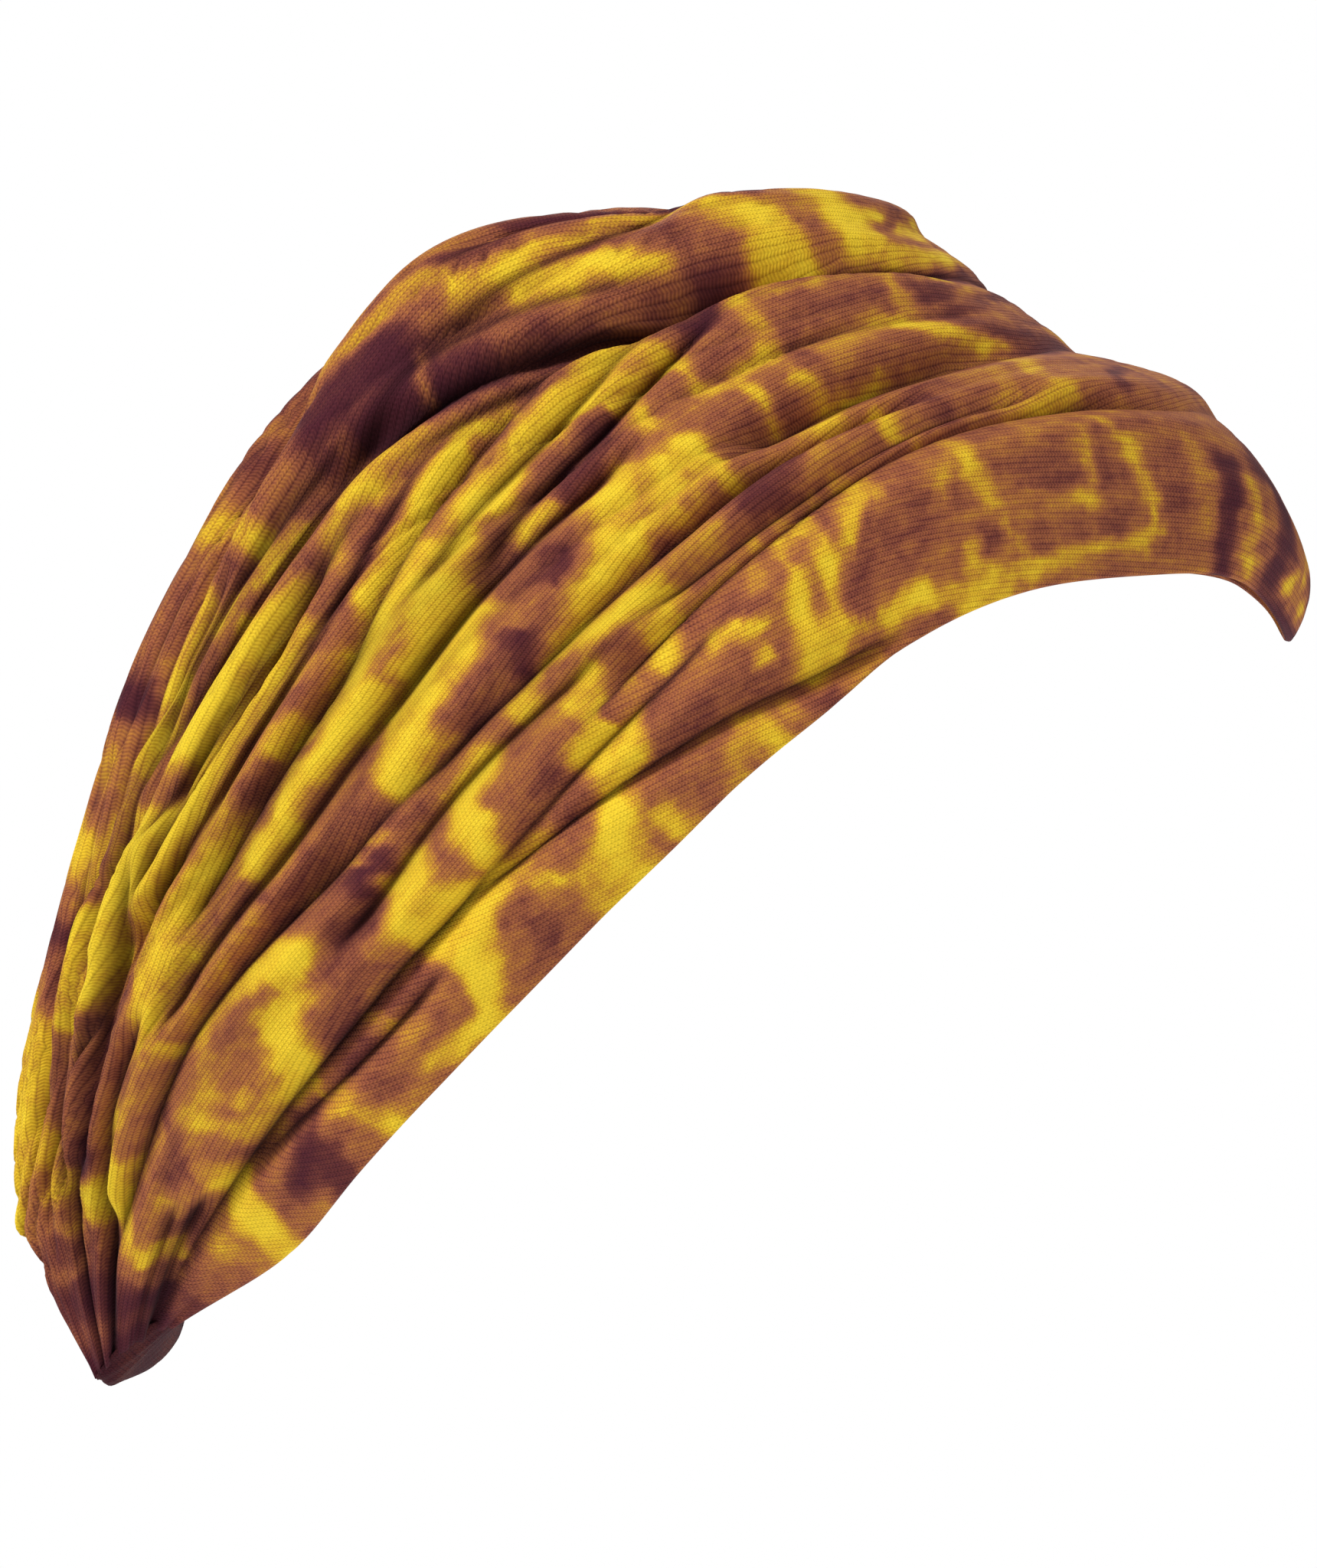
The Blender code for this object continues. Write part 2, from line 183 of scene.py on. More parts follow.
# Sections across the band, a row for each station from the nape to the middle plane.
# Each pair is y and z of a guide: front edge, front roll, brow crease, middle, crown crease, crest and
# back edge.
SECTIONS = [
    (76.6, -148.3, 78.1, -148.8, 79.8, -149.5, 84.1, -152.2, 86.9, -154.9, 87.7, -155.6, 87.7, -156.2),
    (61.5, -138.7, 67.2, -136.3, 72.6, -133.9, 82.3, -131.8, 90.9, -130.7, 95.2, -133.4, 98.4, -134.8),
    (50.5, -126.4, 56.8, -122.1, 62.9, -117.8, 78.0, -116.2, 90.0, -113.5, 95.0, -113.5, 99.0, -115.6),
    (33.3, -108.1, 40.9, -104.7, 48.4, -101.1, 68.8, -101.1, 86.0, -95.8, 91.6, -94.6, 95.4, -98.0),
    (17.1, -91.5, 25.2, -88.6, 33.3, -85.5, 54.8, -84.5, 80.1, -80.2, 87.4, -79.0, 90.4, -80.4),
    (2.3, -76.8, 9.5, -71.6, 17.2, -66.2, 38.7, -61.9, 69.9, -60.8, 77.8, -54.5, 82.8, -55.2),
    (-12.9, -63.8, -5.9, -55.6, 1.1, -47.4, 21.5, -44.1, 51.6, -35.5, 61.8, -25.9, 69.0, -29.8),
    (-26.9, -52.6, -21.5, -42.5, -15.1, -33.9, 1.1, -28.3, 26.9, -16.3, 40.0, 1.4, 58.5, -21.8),
    (-40.9, -46.8, -37.1, -35.2, -32.3, -24.8, -17.2, -19.6, 3.2, -3.1, 13.9, 8.8, 52.0, -14.8),
    (-57.0, -44.4, -55.1, -31.8, -50.8, -21.0, -32.8, -13.4, -15.3, 2.2, -6.5, 9.6, 47.0, -9.3),
    (-72.2, -45.4, -74.2, -32.9, -65.2, -21.2, -43.7, -11.6, -24.8, 3.2, -15.8, 8.5, 43.5, -6.3),
    (-79.0, -53.6, -81.3, -41.5, -69.9, -22.0, -49.2, -11.8, -28.6, 3.0, -18.9, 7.4, 42.0, -5.3),
]

# Creases between the folds. first and last are stations; a to e place the crease across the band, in percent
# of its width, at equal steps between them; depth and reach are in millimetres; a positive lean lifts the
# side towards the back.
CREASE_COLUMNS = ("name", "first", "last", "a", "b", "c", "d", "e", "depth", "reach", "lean")
CREASES = [
    ("tip_front", 0, 1.2, 25.5, 26.2, 26.8, 26.2, 25, 5, 3, 0.5),
    ("tip_ridge", 0, 1.1, 33, 32.5, 31.8, 31.2, 30.5, 4, 3, -0.4),
    ("tip_middle", 0, 1, 50, 50.5, 51, 52, 53, 7, 3.5, -0.5),
    ("tip_back", 0, 1.3, 66, 67, 68, 69, 70, 5, 3, 0.4),
    ("lower_front", 0, 4, 23, 21.2, 20.3, 21.2, 22.4, 4, 4, 0.8),
    ("lower_front_end", 3.8, 6, 22.4, 22, 21.4, 20, 19.3, 2.4, 3.5, 0.5),
    ("brow", 5, 11, 25.6, 23.2, 23.6, 23.6, 21.4, 4.8, 4.5, -0.8),
    ("front_tuck", 3.7, 6.9, 21.8, 17, 10.8, 5, 1.7, 2.8, 3, 0.8),
    ("front_pleat", 1.4, 3.3, 19, 17, 15, 14.6, 15, 2.8, 3, 0.8),
    ("brow_fold", 5.6, 9, 30.5, 28.4, 28.5, 29.4, 29, 3, 3, -0.6),
    ("brow_pleat", 6.6, 9.4, 26.2, 25.9, 25.8, 26.2, 26.2, 2, 2.2, 0.5),
    ("temple", 3.2, 5.6, 31.5, 34, 34.9, 32.8, 30.5, 2.6, 3.5, 0.6),
    ("second_roll", 4.2, 8.3, 40.7, 36.6, 36.8, 37.1, 36.2, 3, 2.6, -0.6),
    ("second_roll_top", 7, 11, 41.8, 43.7, 42.2, 41.1, 41.3, 4.2, 4.5, -0.8),
    ("middle_deep", 0.5, 4.4, 49, 42.2, 42.8, 42.7, 40.2, 5.2, 4, -0.8),
    ("middle_fold", 2.4, 7, 49.7, 49.7, 48.5, 49.7, 51.8, 3, 2.3, 0.7),
    ("upper_slant", 5.8, 8, 50.8, 53.8, 56.3, 59.5, 62, 2.8, 2.1, 0.7),
    ("long_slant", 3.2, 7.1, 54, 54.6, 55.3, 60, 66.5, 4, 2.6, -0.8),
    ("short_slant", 5.6, 7.6, 54.5, 56.2, 58.5, 61.5, 64.8, 2.4, 2, 0.6),
    ("nape_hook", 0.7, 2.6, 56, 55.2, 55.3, 54.8, 54, 3.8, 3, -0.8),
    ("nape_hollow", 1.1, 3.5, 66.2, 65.4, 64.8, 64, 63, 6, 4.2, -0.35),
    ("flank_fold", 2.9, 6.5, 64, 61.8, 60.6, 62, 66.8, 2.8, 2.8, 0.6),
    ("crown", 7.4, 11, 66.4, 66.1, 62.5, 57.5, 55.2, 4.8, 4, 0.9),
    ("crown_slit", 5.9, 8.6, 72.6, 70.9, 68.1, 66.3, 65.7, 4.4, 2.2, 0.9),
    ("crown_pleat", 6.4, 7.8, 74.6, 73.8, 72.4, 70.8, 69.4, 2, 2.2, 0.5),
    ("under_slit", 6.3, 8, 67.6, 67.2, 66.6, 65.6, 64.8, 2.8, 2, 0.6),
    ("flank_strand", 3.4, 5.9, 66.8, 65.5, 64.6, 65.2, 68.2, 2.4, 1.7, 0.7),
    ("nape_strand", 1.8, 3.9, 69, 68.4, 68.2, 68.6, 69.5, 2.2, 1.6, 0.6),
    ("crown_strand", 2.8, 4.9, 78.2, 77.6, 77, 77.2, 77.8, 2.2, 1.6, -0.6),
    ("crest_strand", 3.2, 5.6, 82.6, 81.8, 81.2, 80.6, 80, 2, 1.6, 0.5),
    ("upper_flank", 3.9, 6.1, 70.2, 67.2, 66, 66, 66.8, 2.6, 2.6, 0.5),
    ("under_crown", 2.9, 6.2, 74.5, 74.2, 72.2, 71.4, 70.8, 3.4, 3, -0.7),
    ("crown_lower", 4.3, 6.6, 76.5, 74.8, 73.5, 73.5, 74, 2.2, 2.8, 0.6),
    ("nape_pocket", 2.3, 3.7, 74.2, 75, 76.2, 77.2, 78, 3, 2.6, 0.5),
    ("crest_nape", 0.8, 2.9, 80, 80, 79, 76.5, 72, 4.2, 3.5, -0.7),
    ("crest_nape_inner", 0.9, 2.4, 72, 74, 74.5, 73.5, 70, 3, 2.6, 0.5),
    ("crest_fold", 4.5, 6.3, 79, 78.5, 78, 76.5, 74.5, 2.6, 2.6, 0.4),
    ("back_layer", 1.3, 6.3, 86.8, 86.2, 83.2, 84, 85, 4, 3.4, -0.8),
    ("back_seam", 2.6, 6.6, 90.5, 90, 90.5, 91, 90, 1.8, 3, 0.4),
    ("crown_ridge", 7.2, 9.8, 54.5, 54, 52.5, 50.5, 49, 1.2, 3, 0.4),
    ("crown_top", 6.6, 8.3, 75.2, 74.8, 75.2, 76.8, 80, 2.2, 3.5, 0.5),
    ("crest_top", 6.8, 11, 80, 81, 84, 86, 88, 2.4, 5, -0.4),
    ("back_middle", 5.5, 11, 90, 90.5, 92.5, 93, 94, 2, 5, 0.4),
]

# Dye, laid on in order over a copper-brown ground; a few strokes in deep creases and below the crown also
# stand for painted shade. Each stroke runs from one place to another on the cloth, with its places across in
# percent of the width, and its half width in millimetres, at least the 1.1 that
# the mesh can show. Its dye is in percent: 0 yellow, 30 ochre, 60 copper brown, 100 maroon.
GROUND = 0.6
STROKE_COLUMNS = ("from_station", "from_across", "to_station", "to_across", "half_width", "dye")
STROKE_UNITS = (1, 100, 1, 100, 1, 100)  # what the numbers of a row are divided by
STROKES = [
    # nape, where the folds meet
    (0, 0, 0, 100, 6, 98), (0.3, 0, 0.3, 20, 3, 85), (0.55, 0, 0.55, 18, 3, 68),
    (0.4, 45, 0.45, 95, 4.5, 92), (0.7, 62, 0.75, 90, 3, 75), (0.3, 32, 0.3, 42, 3, 95),
    (0.6, 28, 0.6, 45, 2, 62), (0.55, 50, 0.55, 60, 2, 80),
    # front panel
    (0.85, 2, 0.88, 15, 2, 42), (1.08, 0, 1.15, 10, 3.2, 5), (1.15, 10, 1.3, 20, 3, 8),
    (1.84, 0, 1.92, 5, 2.6, 92), (1.72, 9, 1.95, 10, 2.2, 92), (1.9, 5, 1.93, 11, 1.8, 95),
    (2.35, 0, 2.4, 7, 2, 10), (2.32, 9, 2.25, 14, 2.2, 12), (2.35, 13, 2.3, 19, 1.6, 22),
    (2.45, 10, 2.62, 12, 2.5, 66), (2.72, 4.5, 2.9, 3, 1.6, 25), (2.9, 3, 3.15, 1.5, 2.4, 12),
    (2.7, 9, 2.9, 10, 1.6, 38), (3, 2, 3.2, 0, 2.4, 10), (3.15, 2, 3.35, 9, 2.6, 6),
    # (1.95, 17.5) to (3.2, 18): dark brown strip below the lower front crease, partly dye and partly painted
    # shade
    (3.35, 9, 3.6, 17, 3.6, 4), (3.3, 18.5, 3.95, 18.5, 2.6, 5), (1.95, 17.5, 3.2, 18, 2.6, 78),
    (2.25, 15, 2.25, 19, 1.1, 30), (2.75, 15, 2.75, 20, 1.1, 40), (3.6, 0, 3.7, 6, 4.2, 64),
    (3.7, 6, 3.88, 13, 3.2, 64), (3.65, 0, 3.8, 9, 1.4, 76), (4.25, 0, 4.35, 7, 6, 6),
    (4.35, 7, 4.68, 13, 4.6, 4), (4.78, 0, 4.8, 5, 2.6, 8), (4.75, 12, 4.88, 15, 2.6, 4),
    (4.1, 11, 4.1, 16.5, 1.6, 10), (4.27, 11.5, 4.37, 16.5, 2.6, 60), (4.45, 14.5, 4.6, 16.8, 2, 62),
    (4.2, 4, 4.28, 8, 1.8, 20), (5.05, 0, 5.02, 5, 4.4, 62), (5, 5, 4.92, 12, 3.4, 62),
    (5.08, 0, 5.1, 5, 1.8, 72), (5.25, 0, 5.4, 3, 2, 42), (5.62, 0, 5.6, 6.5, 2.5, 12),
    (5.45, 5, 5.6, 6, 1.6, 20), (6.05, 0, 6.1, 3.5, 3.4, 76), (5.85, 0, 5.85, 4, 1.6, 40),
    (6.35, 0, 6.5, 1.2, 2, 45),
    # temple and forehead panel, from the tuck to the brow crease
    (4.05, 20, 4.3, 19, 2, 25), (4.5, 19, 4.7, 19.5, 2.4, 74), (4.85, 19, 5.05, 16.5, 3.2, 5),
    (5, 15.5, 5.15, 19.5, 2.6, 5), (5.25, 16, 5.95, 10, 5.5, 66), (5.3, 13, 5.6, 12, 3.2, 70),
    (5.78, 18.2, 6.02, 15.2, 1.1, 8), (5.92, 12.2, 5.93, 12.3, 1.1, 15), (6.15, 6.5, 6.3, 9, 3, 8),
    (6.3, 9, 6.38, 14, 2.4, 10), (6.38, 14, 6.52, 18, 2.2, 12), (6.52, 18, 6.55, 22.5, 2, 18),
    (6.18, 4.5, 6.38, 5, 1.8, 15), (6.46, 8, 6.62, 15, 1.5, 12), (6.62, 15, 6.72, 20, 1.6, 12),
    (6.72, 20, 6.78, 23.5, 1.8, 18), (6.43, 11, 6.55, 20, 1.1, 55), (6.52, 7, 6.85, 5, 1.9, 14),
    (6.8, 4.5, 7.15, 5, 2.2, 14), (6.66, 7.5, 6.8, 12, 2, 78), (6.8, 12, 7, 17, 2.2, 74),
    (7.05, 9, 7.15, 15, 2.5, 70), (6.85, 16.5, 7.02, 20, 1.8, 15), (7.02, 20, 7.22, 22, 2.4, 18),
    (7.2, 19, 7.25, 21.5, 1.4, 30), (7.15, 3, 7.35, 3, 1.9, 14), (7, 0.5, 7.4, 1.2, 1.8, 66),
    (7.48, 1.5, 7.72, 3, 3.6, 10), (7.6, 5, 7.68, 7.5, 2, 16), (7.7, 1, 8, 2, 2, 25),
    (8, 2, 8.3, 2.2, 1.9, 18), (8.3, 2.2, 8.55, 3.4, 1.4, 20), (8.55, 3.4, 8.8, 4, 1.2, 24),
    (8.8, 4, 9.05, 3.6, 1.2, 24), (9.05, 3.6, 9.17, 5.5, 1.2, 22), (8.05, 4, 7.97, 10, 1.1, 34),
    (7.97, 10, 7.9, 17, 1.3, 26), (7.9, 16, 7.93, 20.5, 1.8, 20), (7.8, 6, 7.85, 9, 2.4, 76),
    (7.25, 10, 7.35, 14, 2.8, 69), (7.6, 15.5, 7.7, 18, 1.1, 35), (8.2, 6, 8.6, 7.5, 2.4, 66),
    (8.25, 13, 8.5, 14, 3.4, 74), (7.8, 10.5, 8.65, 10.4, 1.1, 50), (8.7, 9, 8.73, 15, 1.1, 30),
    (8.73, 15, 8.76, 19, 1.1, 38), (8.6, 10, 8.78, 10, 1.1, 25), (8.82, 6, 8.84, 9, 2.2, 74),
    (8.85, 12, 8.87, 16, 2, 72), (9.17, 5, 9.14, 11, 1.1, 28), (9.1, 11, 9.08, 16, 1.3, 26),
    (9.08, 16, 8.98, 20, 1.3, 28), (9.32, 3, 9.35, 16, 2.2, 68), (9.48, 8, 9.52, 17, 1.1, 48),
    (9.7, 0, 9.67, 7, 3, 100), (9.67, 7, 9.76, 14, 2.6, 100), (9.9, 3, 9.92, 12, 1.9, 32),
    (9.95, 2, 10, 2.8, 1.9, 14), (10.22, 2, 10.32, 13, 4.4, 100), (10.1, 14, 10.4, 19, 3, 85),
    (10.42, 3, 10.62, 7, 2.2, 12), (10.7, 3, 10.8, 5, 2, 20), (10.2, 0, 11, 0, 2.2, 95),
    (10.55, 2, 10.6, 13, 1.1, 55), (10.9, 6, 10.9, 18, 3.5, 80), (10.75, 10, 10.75, 20, 1.8, 25),
    # second panel, nape to ear
    (0.6, 24, 0.72, 29, 1.8, 16), (0.72, 29, 0.66, 36, 1.8, 14), (0.66, 36, 0.72, 41, 2, 16),
    (0.72, 41, 0.88, 44, 2.2, 18), (1.4, 24, 1.43, 28.5, 1.5, 30), (1, 30, 1.06, 33, 1.4, 38),
    (1.35, 33, 1.45, 35, 2.8, 80), (1.45, 38, 1.85, 38.5, 2.6, 76), (1.72, 23, 2.05, 21.5, 1.8, 20),
    (2.05, 21.5, 2.28, 23.5, 2.2, 5), (2.28, 23.5, 2.5, 29, 3, 4), (2.5, 29, 2.75, 33, 3.4, 4),
    (2.75, 33, 3.05, 37, 4.2, 3), (3.05, 37, 3.35, 39, 4.2, 5), (3.2, 34, 3.3, 36, 3.4, 4),
    (1.8, 29, 1.87, 34, 1.8, 28), (2.02, 28, 2.06, 33, 1.1, 28), (1.87, 34, 2.3, 36, 1.9, 26),
    (2.3, 36, 2.55, 39.5, 2, 22), (2.55, 40, 2.95, 41, 2.2, 15), (2.2, 30.5, 2.38, 32, 2.4, 56),
    (2.55, 36, 2.85, 37, 2.4, 62), (2.05, 38.5, 2.25, 40, 2, 60), (2.6, 21.5, 2.85, 25, 2, 76),
    (2.85, 25, 3.1, 29, 2.2, 74), (3.1, 29, 3.45, 33, 2.2, 74), (3.45, 33, 3.85, 35.5, 2.2, 80),
    (3.85, 35.5, 4.2, 40, 2.2, 98), (3.75, 37, 4.35, 39, 4, 68), (3.85, 35.5, 4.18, 39.5, 1.8, 98),
    (4.05, 39.5, 4.09, 40.5, 1.1, 25), (4.2, 39, 4.23, 40, 1.1, 25), (3.1, 22.5, 3.45, 22, 1.2, 40),
    (3.25, 25, 3.4, 28, 1.1, 40), (3.35, 22.5, 4.05, 22.5, 2, 8), (3.5, 24, 3.72, 27, 3.4, 5),
    (3.72, 27, 3.92, 31, 3.4, 4), (3.92, 31, 4.12, 33.5, 2.6, 5), (3.98, 25, 4.12, 29, 1.1, 58),
    (4.12, 29, 4.32, 34, 1.4, 60), (4.12, 24.5, 4.3, 29, 2.2, 8), (4.3, 29, 4.48, 33, 2.6, 5),
    (4.32, 35, 4.5, 35.2, 1.8, 42), (4.48, 33.5, 4.75, 34, 2, 8), (4.42, 23.5, 4.65, 24, 3.4, 62),
    (4.5, 27, 4.6, 27.5, 2.4, 60), (4.55, 23, 4.62, 24.5, 1.5, 74), (4.83, 28, 4.9, 31, 2.4, 58),
    (4.85, 22.5, 5.05, 23.5, 3, 5), (5.02, 24, 5.12, 28, 2.8, 6), (5.12, 28, 5.3, 31, 3, 5),
    (5.15, 22, 5.22, 25.5, 1.1, 66), (5.22, 25.5, 5.42, 26.8, 1.1, 68), (5.42, 26.8, 5.62, 30, 1.3, 62),
    (5.5, 22.5, 5.6, 24, 1.9, 15), (5.68, 26.5, 5.92, 29, 2, 10), (5.32, 23.5, 5.4, 25, 1.1, 30),
    (5.8, 22, 6.3, 22.5, 2, 64), (6.2, 20, 6.35, 23.5, 1.1, 35),
    # between the brow crease and the folds above it
    (6, 27, 7.3, 27, 2.6, 58), (6.45, 26, 6.5, 28.5, 1.1, 32), (6.7, 25.5, 6.75, 28.5, 1.2, 30),
    (6.95, 25.5, 7, 28.5, 1.2, 28), (7.2, 26, 7.25, 28.8, 1.1, 30), (7.4, 27, 7.9, 27, 3, 68),
    (7.8, 26.5, 7.86, 29, 1.1, 38), (5, 34, 5.4, 35.8, 1.9, 10), (5.4, 36, 5.85, 37, 1.8, 12),
    (5.22, 33.3, 5.38, 33.8, 1.9, 60), (5.6, 33.5, 5.95, 32.5, 3.4, 7), (6, 34, 6.12, 36, 1.6, 35),
    (6.18, 31, 6.4, 34, 2.2, 52), (6.3, 31, 6.45, 31.5, 1.1, 28), (6.35, 35, 6.65, 36.5, 1.4, 34),
    (6.75, 31.5, 6.95, 35, 3.8, 86), (7, 33, 7.1, 35.5, 2.4, 80), (7.3, 32.5, 7.48, 36.5, 1.3, 36),
    (7.75, 31.5, 7.92, 35.5, 1.7, 16), (7.62, 37.5, 7.95, 37.5, 1.1, 22), (8.1, 28, 8.2, 34, 3.2, 80),
    (8.55, 26.5, 8.6, 30, 1.8, 40), (8.7, 27.5, 9, 28, 3.2, 22), (8.7, 31, 8.75, 34, 1.8, 36),
    (9.02, 33, 9.3, 38, 1.9, 32), (9.3, 38, 9.55, 40.5, 1.9, 28), (9.58, 27.5, 9.8, 31, 1.1, 88),
    (9.8, 31, 10.15, 33, 1.2, 92), (10.5, 26, 11, 26, 2, 80), (10.4, 38, 11, 39, 2.2, 72),
    # middle folds
    (3.6, 44, 4.35, 45, 4.2, 74), (3.72, 43, 3.76, 43.5, 1.1, 30), (3.55, 46.5, 3.65, 47.5, 1.6, 32),
    (2.6, 47, 3.4, 47.5, 2.2, 45), (2.3, 45.5, 2.36, 49, 1.8, 20), (4.5, 41.5, 4.82, 43, 3, 6),
    (4.82, 43, 5.2, 45.5, 3.6, 4), (5.2, 46, 5.62, 48, 3, 5), (4.9, 47.5, 5.2, 48, 1.8, 8),
    (5.2, 49, 5.75, 50.5, 1.6, 6), (4.2, 46.5, 4.55, 48, 2, 55), (4.95, 39.5, 5.45, 40, 3.4, 70),
    (5.28, 38, 5.46, 40, 1.5, 98), (5.46, 40, 5.62, 40.8, 1.2, 95), (5.6, 41.8, 5.66, 43, 1.2, 28),
    (5.7, 42, 6.05, 43, 2.4, 62), (6, 44.5, 6.35, 48, 4, 70), (5.92, 43.5, 6.14, 45.8, 1.2, 92),
    (5.88, 38.8, 6.25, 39.8, 2.6, 10), (6.25, 40, 6.6, 40.2, 2.6, 7), (6.62, 38.5, 6.68, 42, 1.1, 50),
    (6.72, 40, 6.8, 41, 1.4, 28), (6.9, 38.5, 6.92, 41, 1.6, 16), (6.28, 43, 6.48, 46, 2.4, 10),
    (6.48, 46, 6.72, 50, 3, 7), (6.68, 43, 6.95, 47, 3.2, 6), (6.95, 43, 7.05, 48, 2.4, 8),
    (6.9, 47.5, 6.98, 50, 1.1, 52), (7.15, 44, 7.45, 49, 3.2, 64), (7.62, 39.5, 7.95, 43.5, 2, 16),
    (7.55, 45, 7.6, 50, 1.5, 20), (7.72, 45.5, 7.76, 49, 1.6, 68), (7.95, 45, 7.9, 48.5, 1.6, 20),
    (8.05, 46.5, 8.1, 50, 1.6, 66), (8.1, 44.8, 8.42, 45, 1.5, 20), (8.3, 47, 8.8, 47, 2.4, 62),
    (8.88, 50.5, 9.1, 47, 2.8, 12), (9.1, 47, 9.4, 44.3, 2.6, 12), (9.4, 44.3, 9.65, 43.7, 1.6, 16),
    (9.6, 45.5, 10.1, 45, 2.6, 84), (10.2, 47, 11, 48, 3, 72), (10.5, 44.5, 11, 44.5, 1.4, 30),
    # middle, nape side
    (0.95, 49, 1.15, 54, 4.6, 5), (0.92, 55, 1.05, 60, 3, 6), (1.15, 53.5, 1.72, 50, 3, 6),
    (1.3, 43.5, 1.85, 42.5, 1.6, 26), (1.5, 46, 2.1, 47, 2.4, 60), (1.85, 50, 2.25, 50, 1.6, 45),
    (2.2, 54, 2.52, 52, 1.2, 20), (1.2, 60, 2.1, 58, 2.2, 62), (2.3, 58, 2.8, 60, 2.6, 60),
    (2.6, 53, 3.1, 55, 2.6, 12), (3.1, 55, 3.5, 57, 3.6, 8), (3.5, 56, 4.15, 57, 2.8, 13),
    (3, 50.5, 3.6, 50.5, 1.2, 40), (3.4, 51, 3.9, 53, 1.6, 52), (3.9, 50.5, 4.6, 52, 2.6, 8),
    (3.05, 60, 3.9, 61, 2.4, 52), (4.15, 58.5, 4.5, 59, 1.6, 28), (4.4, 56, 4.68, 56, 1.9, 62),
    (4.78, 56, 4.86, 58, 2.2, 10), (4.6, 60, 4.95, 60.5, 1.6, 38), (5.05, 57, 5.3, 57, 2.6, 66),
    (5.05, 61, 5.3, 59.5, 1.8, 32), (4.7, 50, 5.1, 51, 2.4, 6), (5.15, 51, 5.5, 52.5, 1.2, 52),
    (5.5, 59, 6.2, 64, 3.6, 80), (6.2, 64, 6.7, 66.5, 2.2, 66), (5.35, 60, 5.6, 62.5, 2, 64),
    (4.88, 52.5, 5.3, 54, 1.9, 6), (5.3, 54, 5.72, 57.5, 2.6, 4), (5.72, 57.5, 6.2, 62, 2.8, 4),
    (6.2, 62, 6.6, 65.5, 2.2, 6), (6.6, 65.5, 6.8, 66.8, 1.4, 15), (6.1, 57.5, 6.6, 62, 2.4, 64),
    (6.6, 62, 7.05, 65.5, 2.4, 66), (6.78, 61.5, 6.86, 65, 1.1, 32), (5.6, 52, 6, 55, 2.4, 6),
    (6, 55, 6.5, 58, 2.4, 4), (6.5, 58, 7, 61.5, 3, 4), (7, 61, 7.48, 63.8, 3, 6),
    (6, 50.5, 6.22, 53.5, 1.8, 62), (6.22, 51, 6.5, 54, 1.8, 12), (6.55, 52, 6.8, 55, 2.2, 88),
    (6.8, 55, 7.05, 57.5, 2.2, 88), (6.45, 54.5, 6.75, 57, 1.6, 60), (7.05, 52.5, 7.18, 58, 2, 12),
    (7.15, 58.5, 7.5, 60, 1.8, 12), (7.22, 52, 7.4, 57, 2.4, 66), (7.45, 52.5, 7.95, 53.5, 1.6, 16),
    (7.5, 54, 7.5, 60, 1.9, 14), (7.6, 55.5, 7.85, 59, 2.8, 69), (8.1, 57, 8.5, 57.5, 3.4, 69),
    (8.5, 56, 8.9, 55.5, 3.2, 70), (8.2, 51.5, 8.75, 52, 2.4, 34), (8, 55.5, 8.04, 60, 1.1, 38),
    (9, 58.5, 9.25, 60, 1.6, 48), (9.05, 54, 9.12, 58, 1.1, 32), (9.28, 54, 9.6, 54.5, 2.4, 90),
    # (8.2, 65) to (10.2, 56.5): maroon strip below the crown's edge, partly maroon dye and partly painted
    # shade
    (9.62, 56.2, 9.85, 56, 1.2, 18), (9.3, 50, 10, 51, 2, 78), (8.2, 65, 9.2, 61.2, 1.4, 92),
    (9.2, 61.2, 10.2, 56.5, 1.4, 95), (9.9, 42, 10.5, 43, 3, 88), (7.6, 61.5, 7.75, 62.5, 2, 66),
    (7.75, 62, 7.95, 64, 2.2, 95), (8.05, 61.8, 8.18, 64.3, 1.8, 16), (8.32, 63, 8.5, 64.3, 1.4, 46),
    (8.5, 60, 8.82, 64, 1.4, 34), (8.3, 60.5, 8.4, 61, 1.1, 36), (10.2, 52, 11, 53, 2.2, 84),
    (9.9, 53.5, 11, 54.5, 1.2, 40),
    # under the crown, nape side
    # (1.2, 65) to (2.7, 64.8): maroon along the deep nape_hollow crease, partly maroon dye and partly
    # painted shade
    (0.8, 66, 0.9, 76, 1.6, 36), (1.12, 74, 1.16, 80, 2.6, 18), (1.2, 65, 1.38, 68, 1.9, 96),
    (1.3, 64.5, 1.66, 65.6, 2.6, 100), (1.66, 65.6, 2.35, 65.2, 2.8, 100), (2.35, 65.2, 2.7, 64.8, 1.6, 90),
    (1.5, 72, 2.4, 71, 2.8, 66), (1.6, 76, 2.05, 75.5, 2, 76), (2.35, 77, 2.6, 73, 2.8, 6),
    (2.6, 72, 2.9, 71, 3.4, 5), (2.9, 70, 3.6, 70, 4, 5), (3.6, 69, 4.2, 69, 4.2, 5),
    (3.05, 66, 3.25, 67.5, 1.6, 46), (2.55, 67, 3, 66, 1.6, 45), (2.4, 79, 3.2, 78.5, 2, 8),
    (1.8, 82, 2, 84.5, 3.2, 66), (1.45, 82, 1.6, 85, 2.4, 14), (2.05, 86.5, 2.55, 84, 1.1, 14),
    (2.55, 84, 3.2, 80.5, 1.1, 12), (2.8, 76, 3.2, 76.5, 1.6, 35), (3.2, 76, 4.1, 76.5, 2.4, 12),
    (3, 63.5, 4.2, 64, 2.4, 12), (4.2, 64, 5.4, 64.5, 2.6, 14), (4.9, 63, 5.5, 65.5, 1.2, 28),
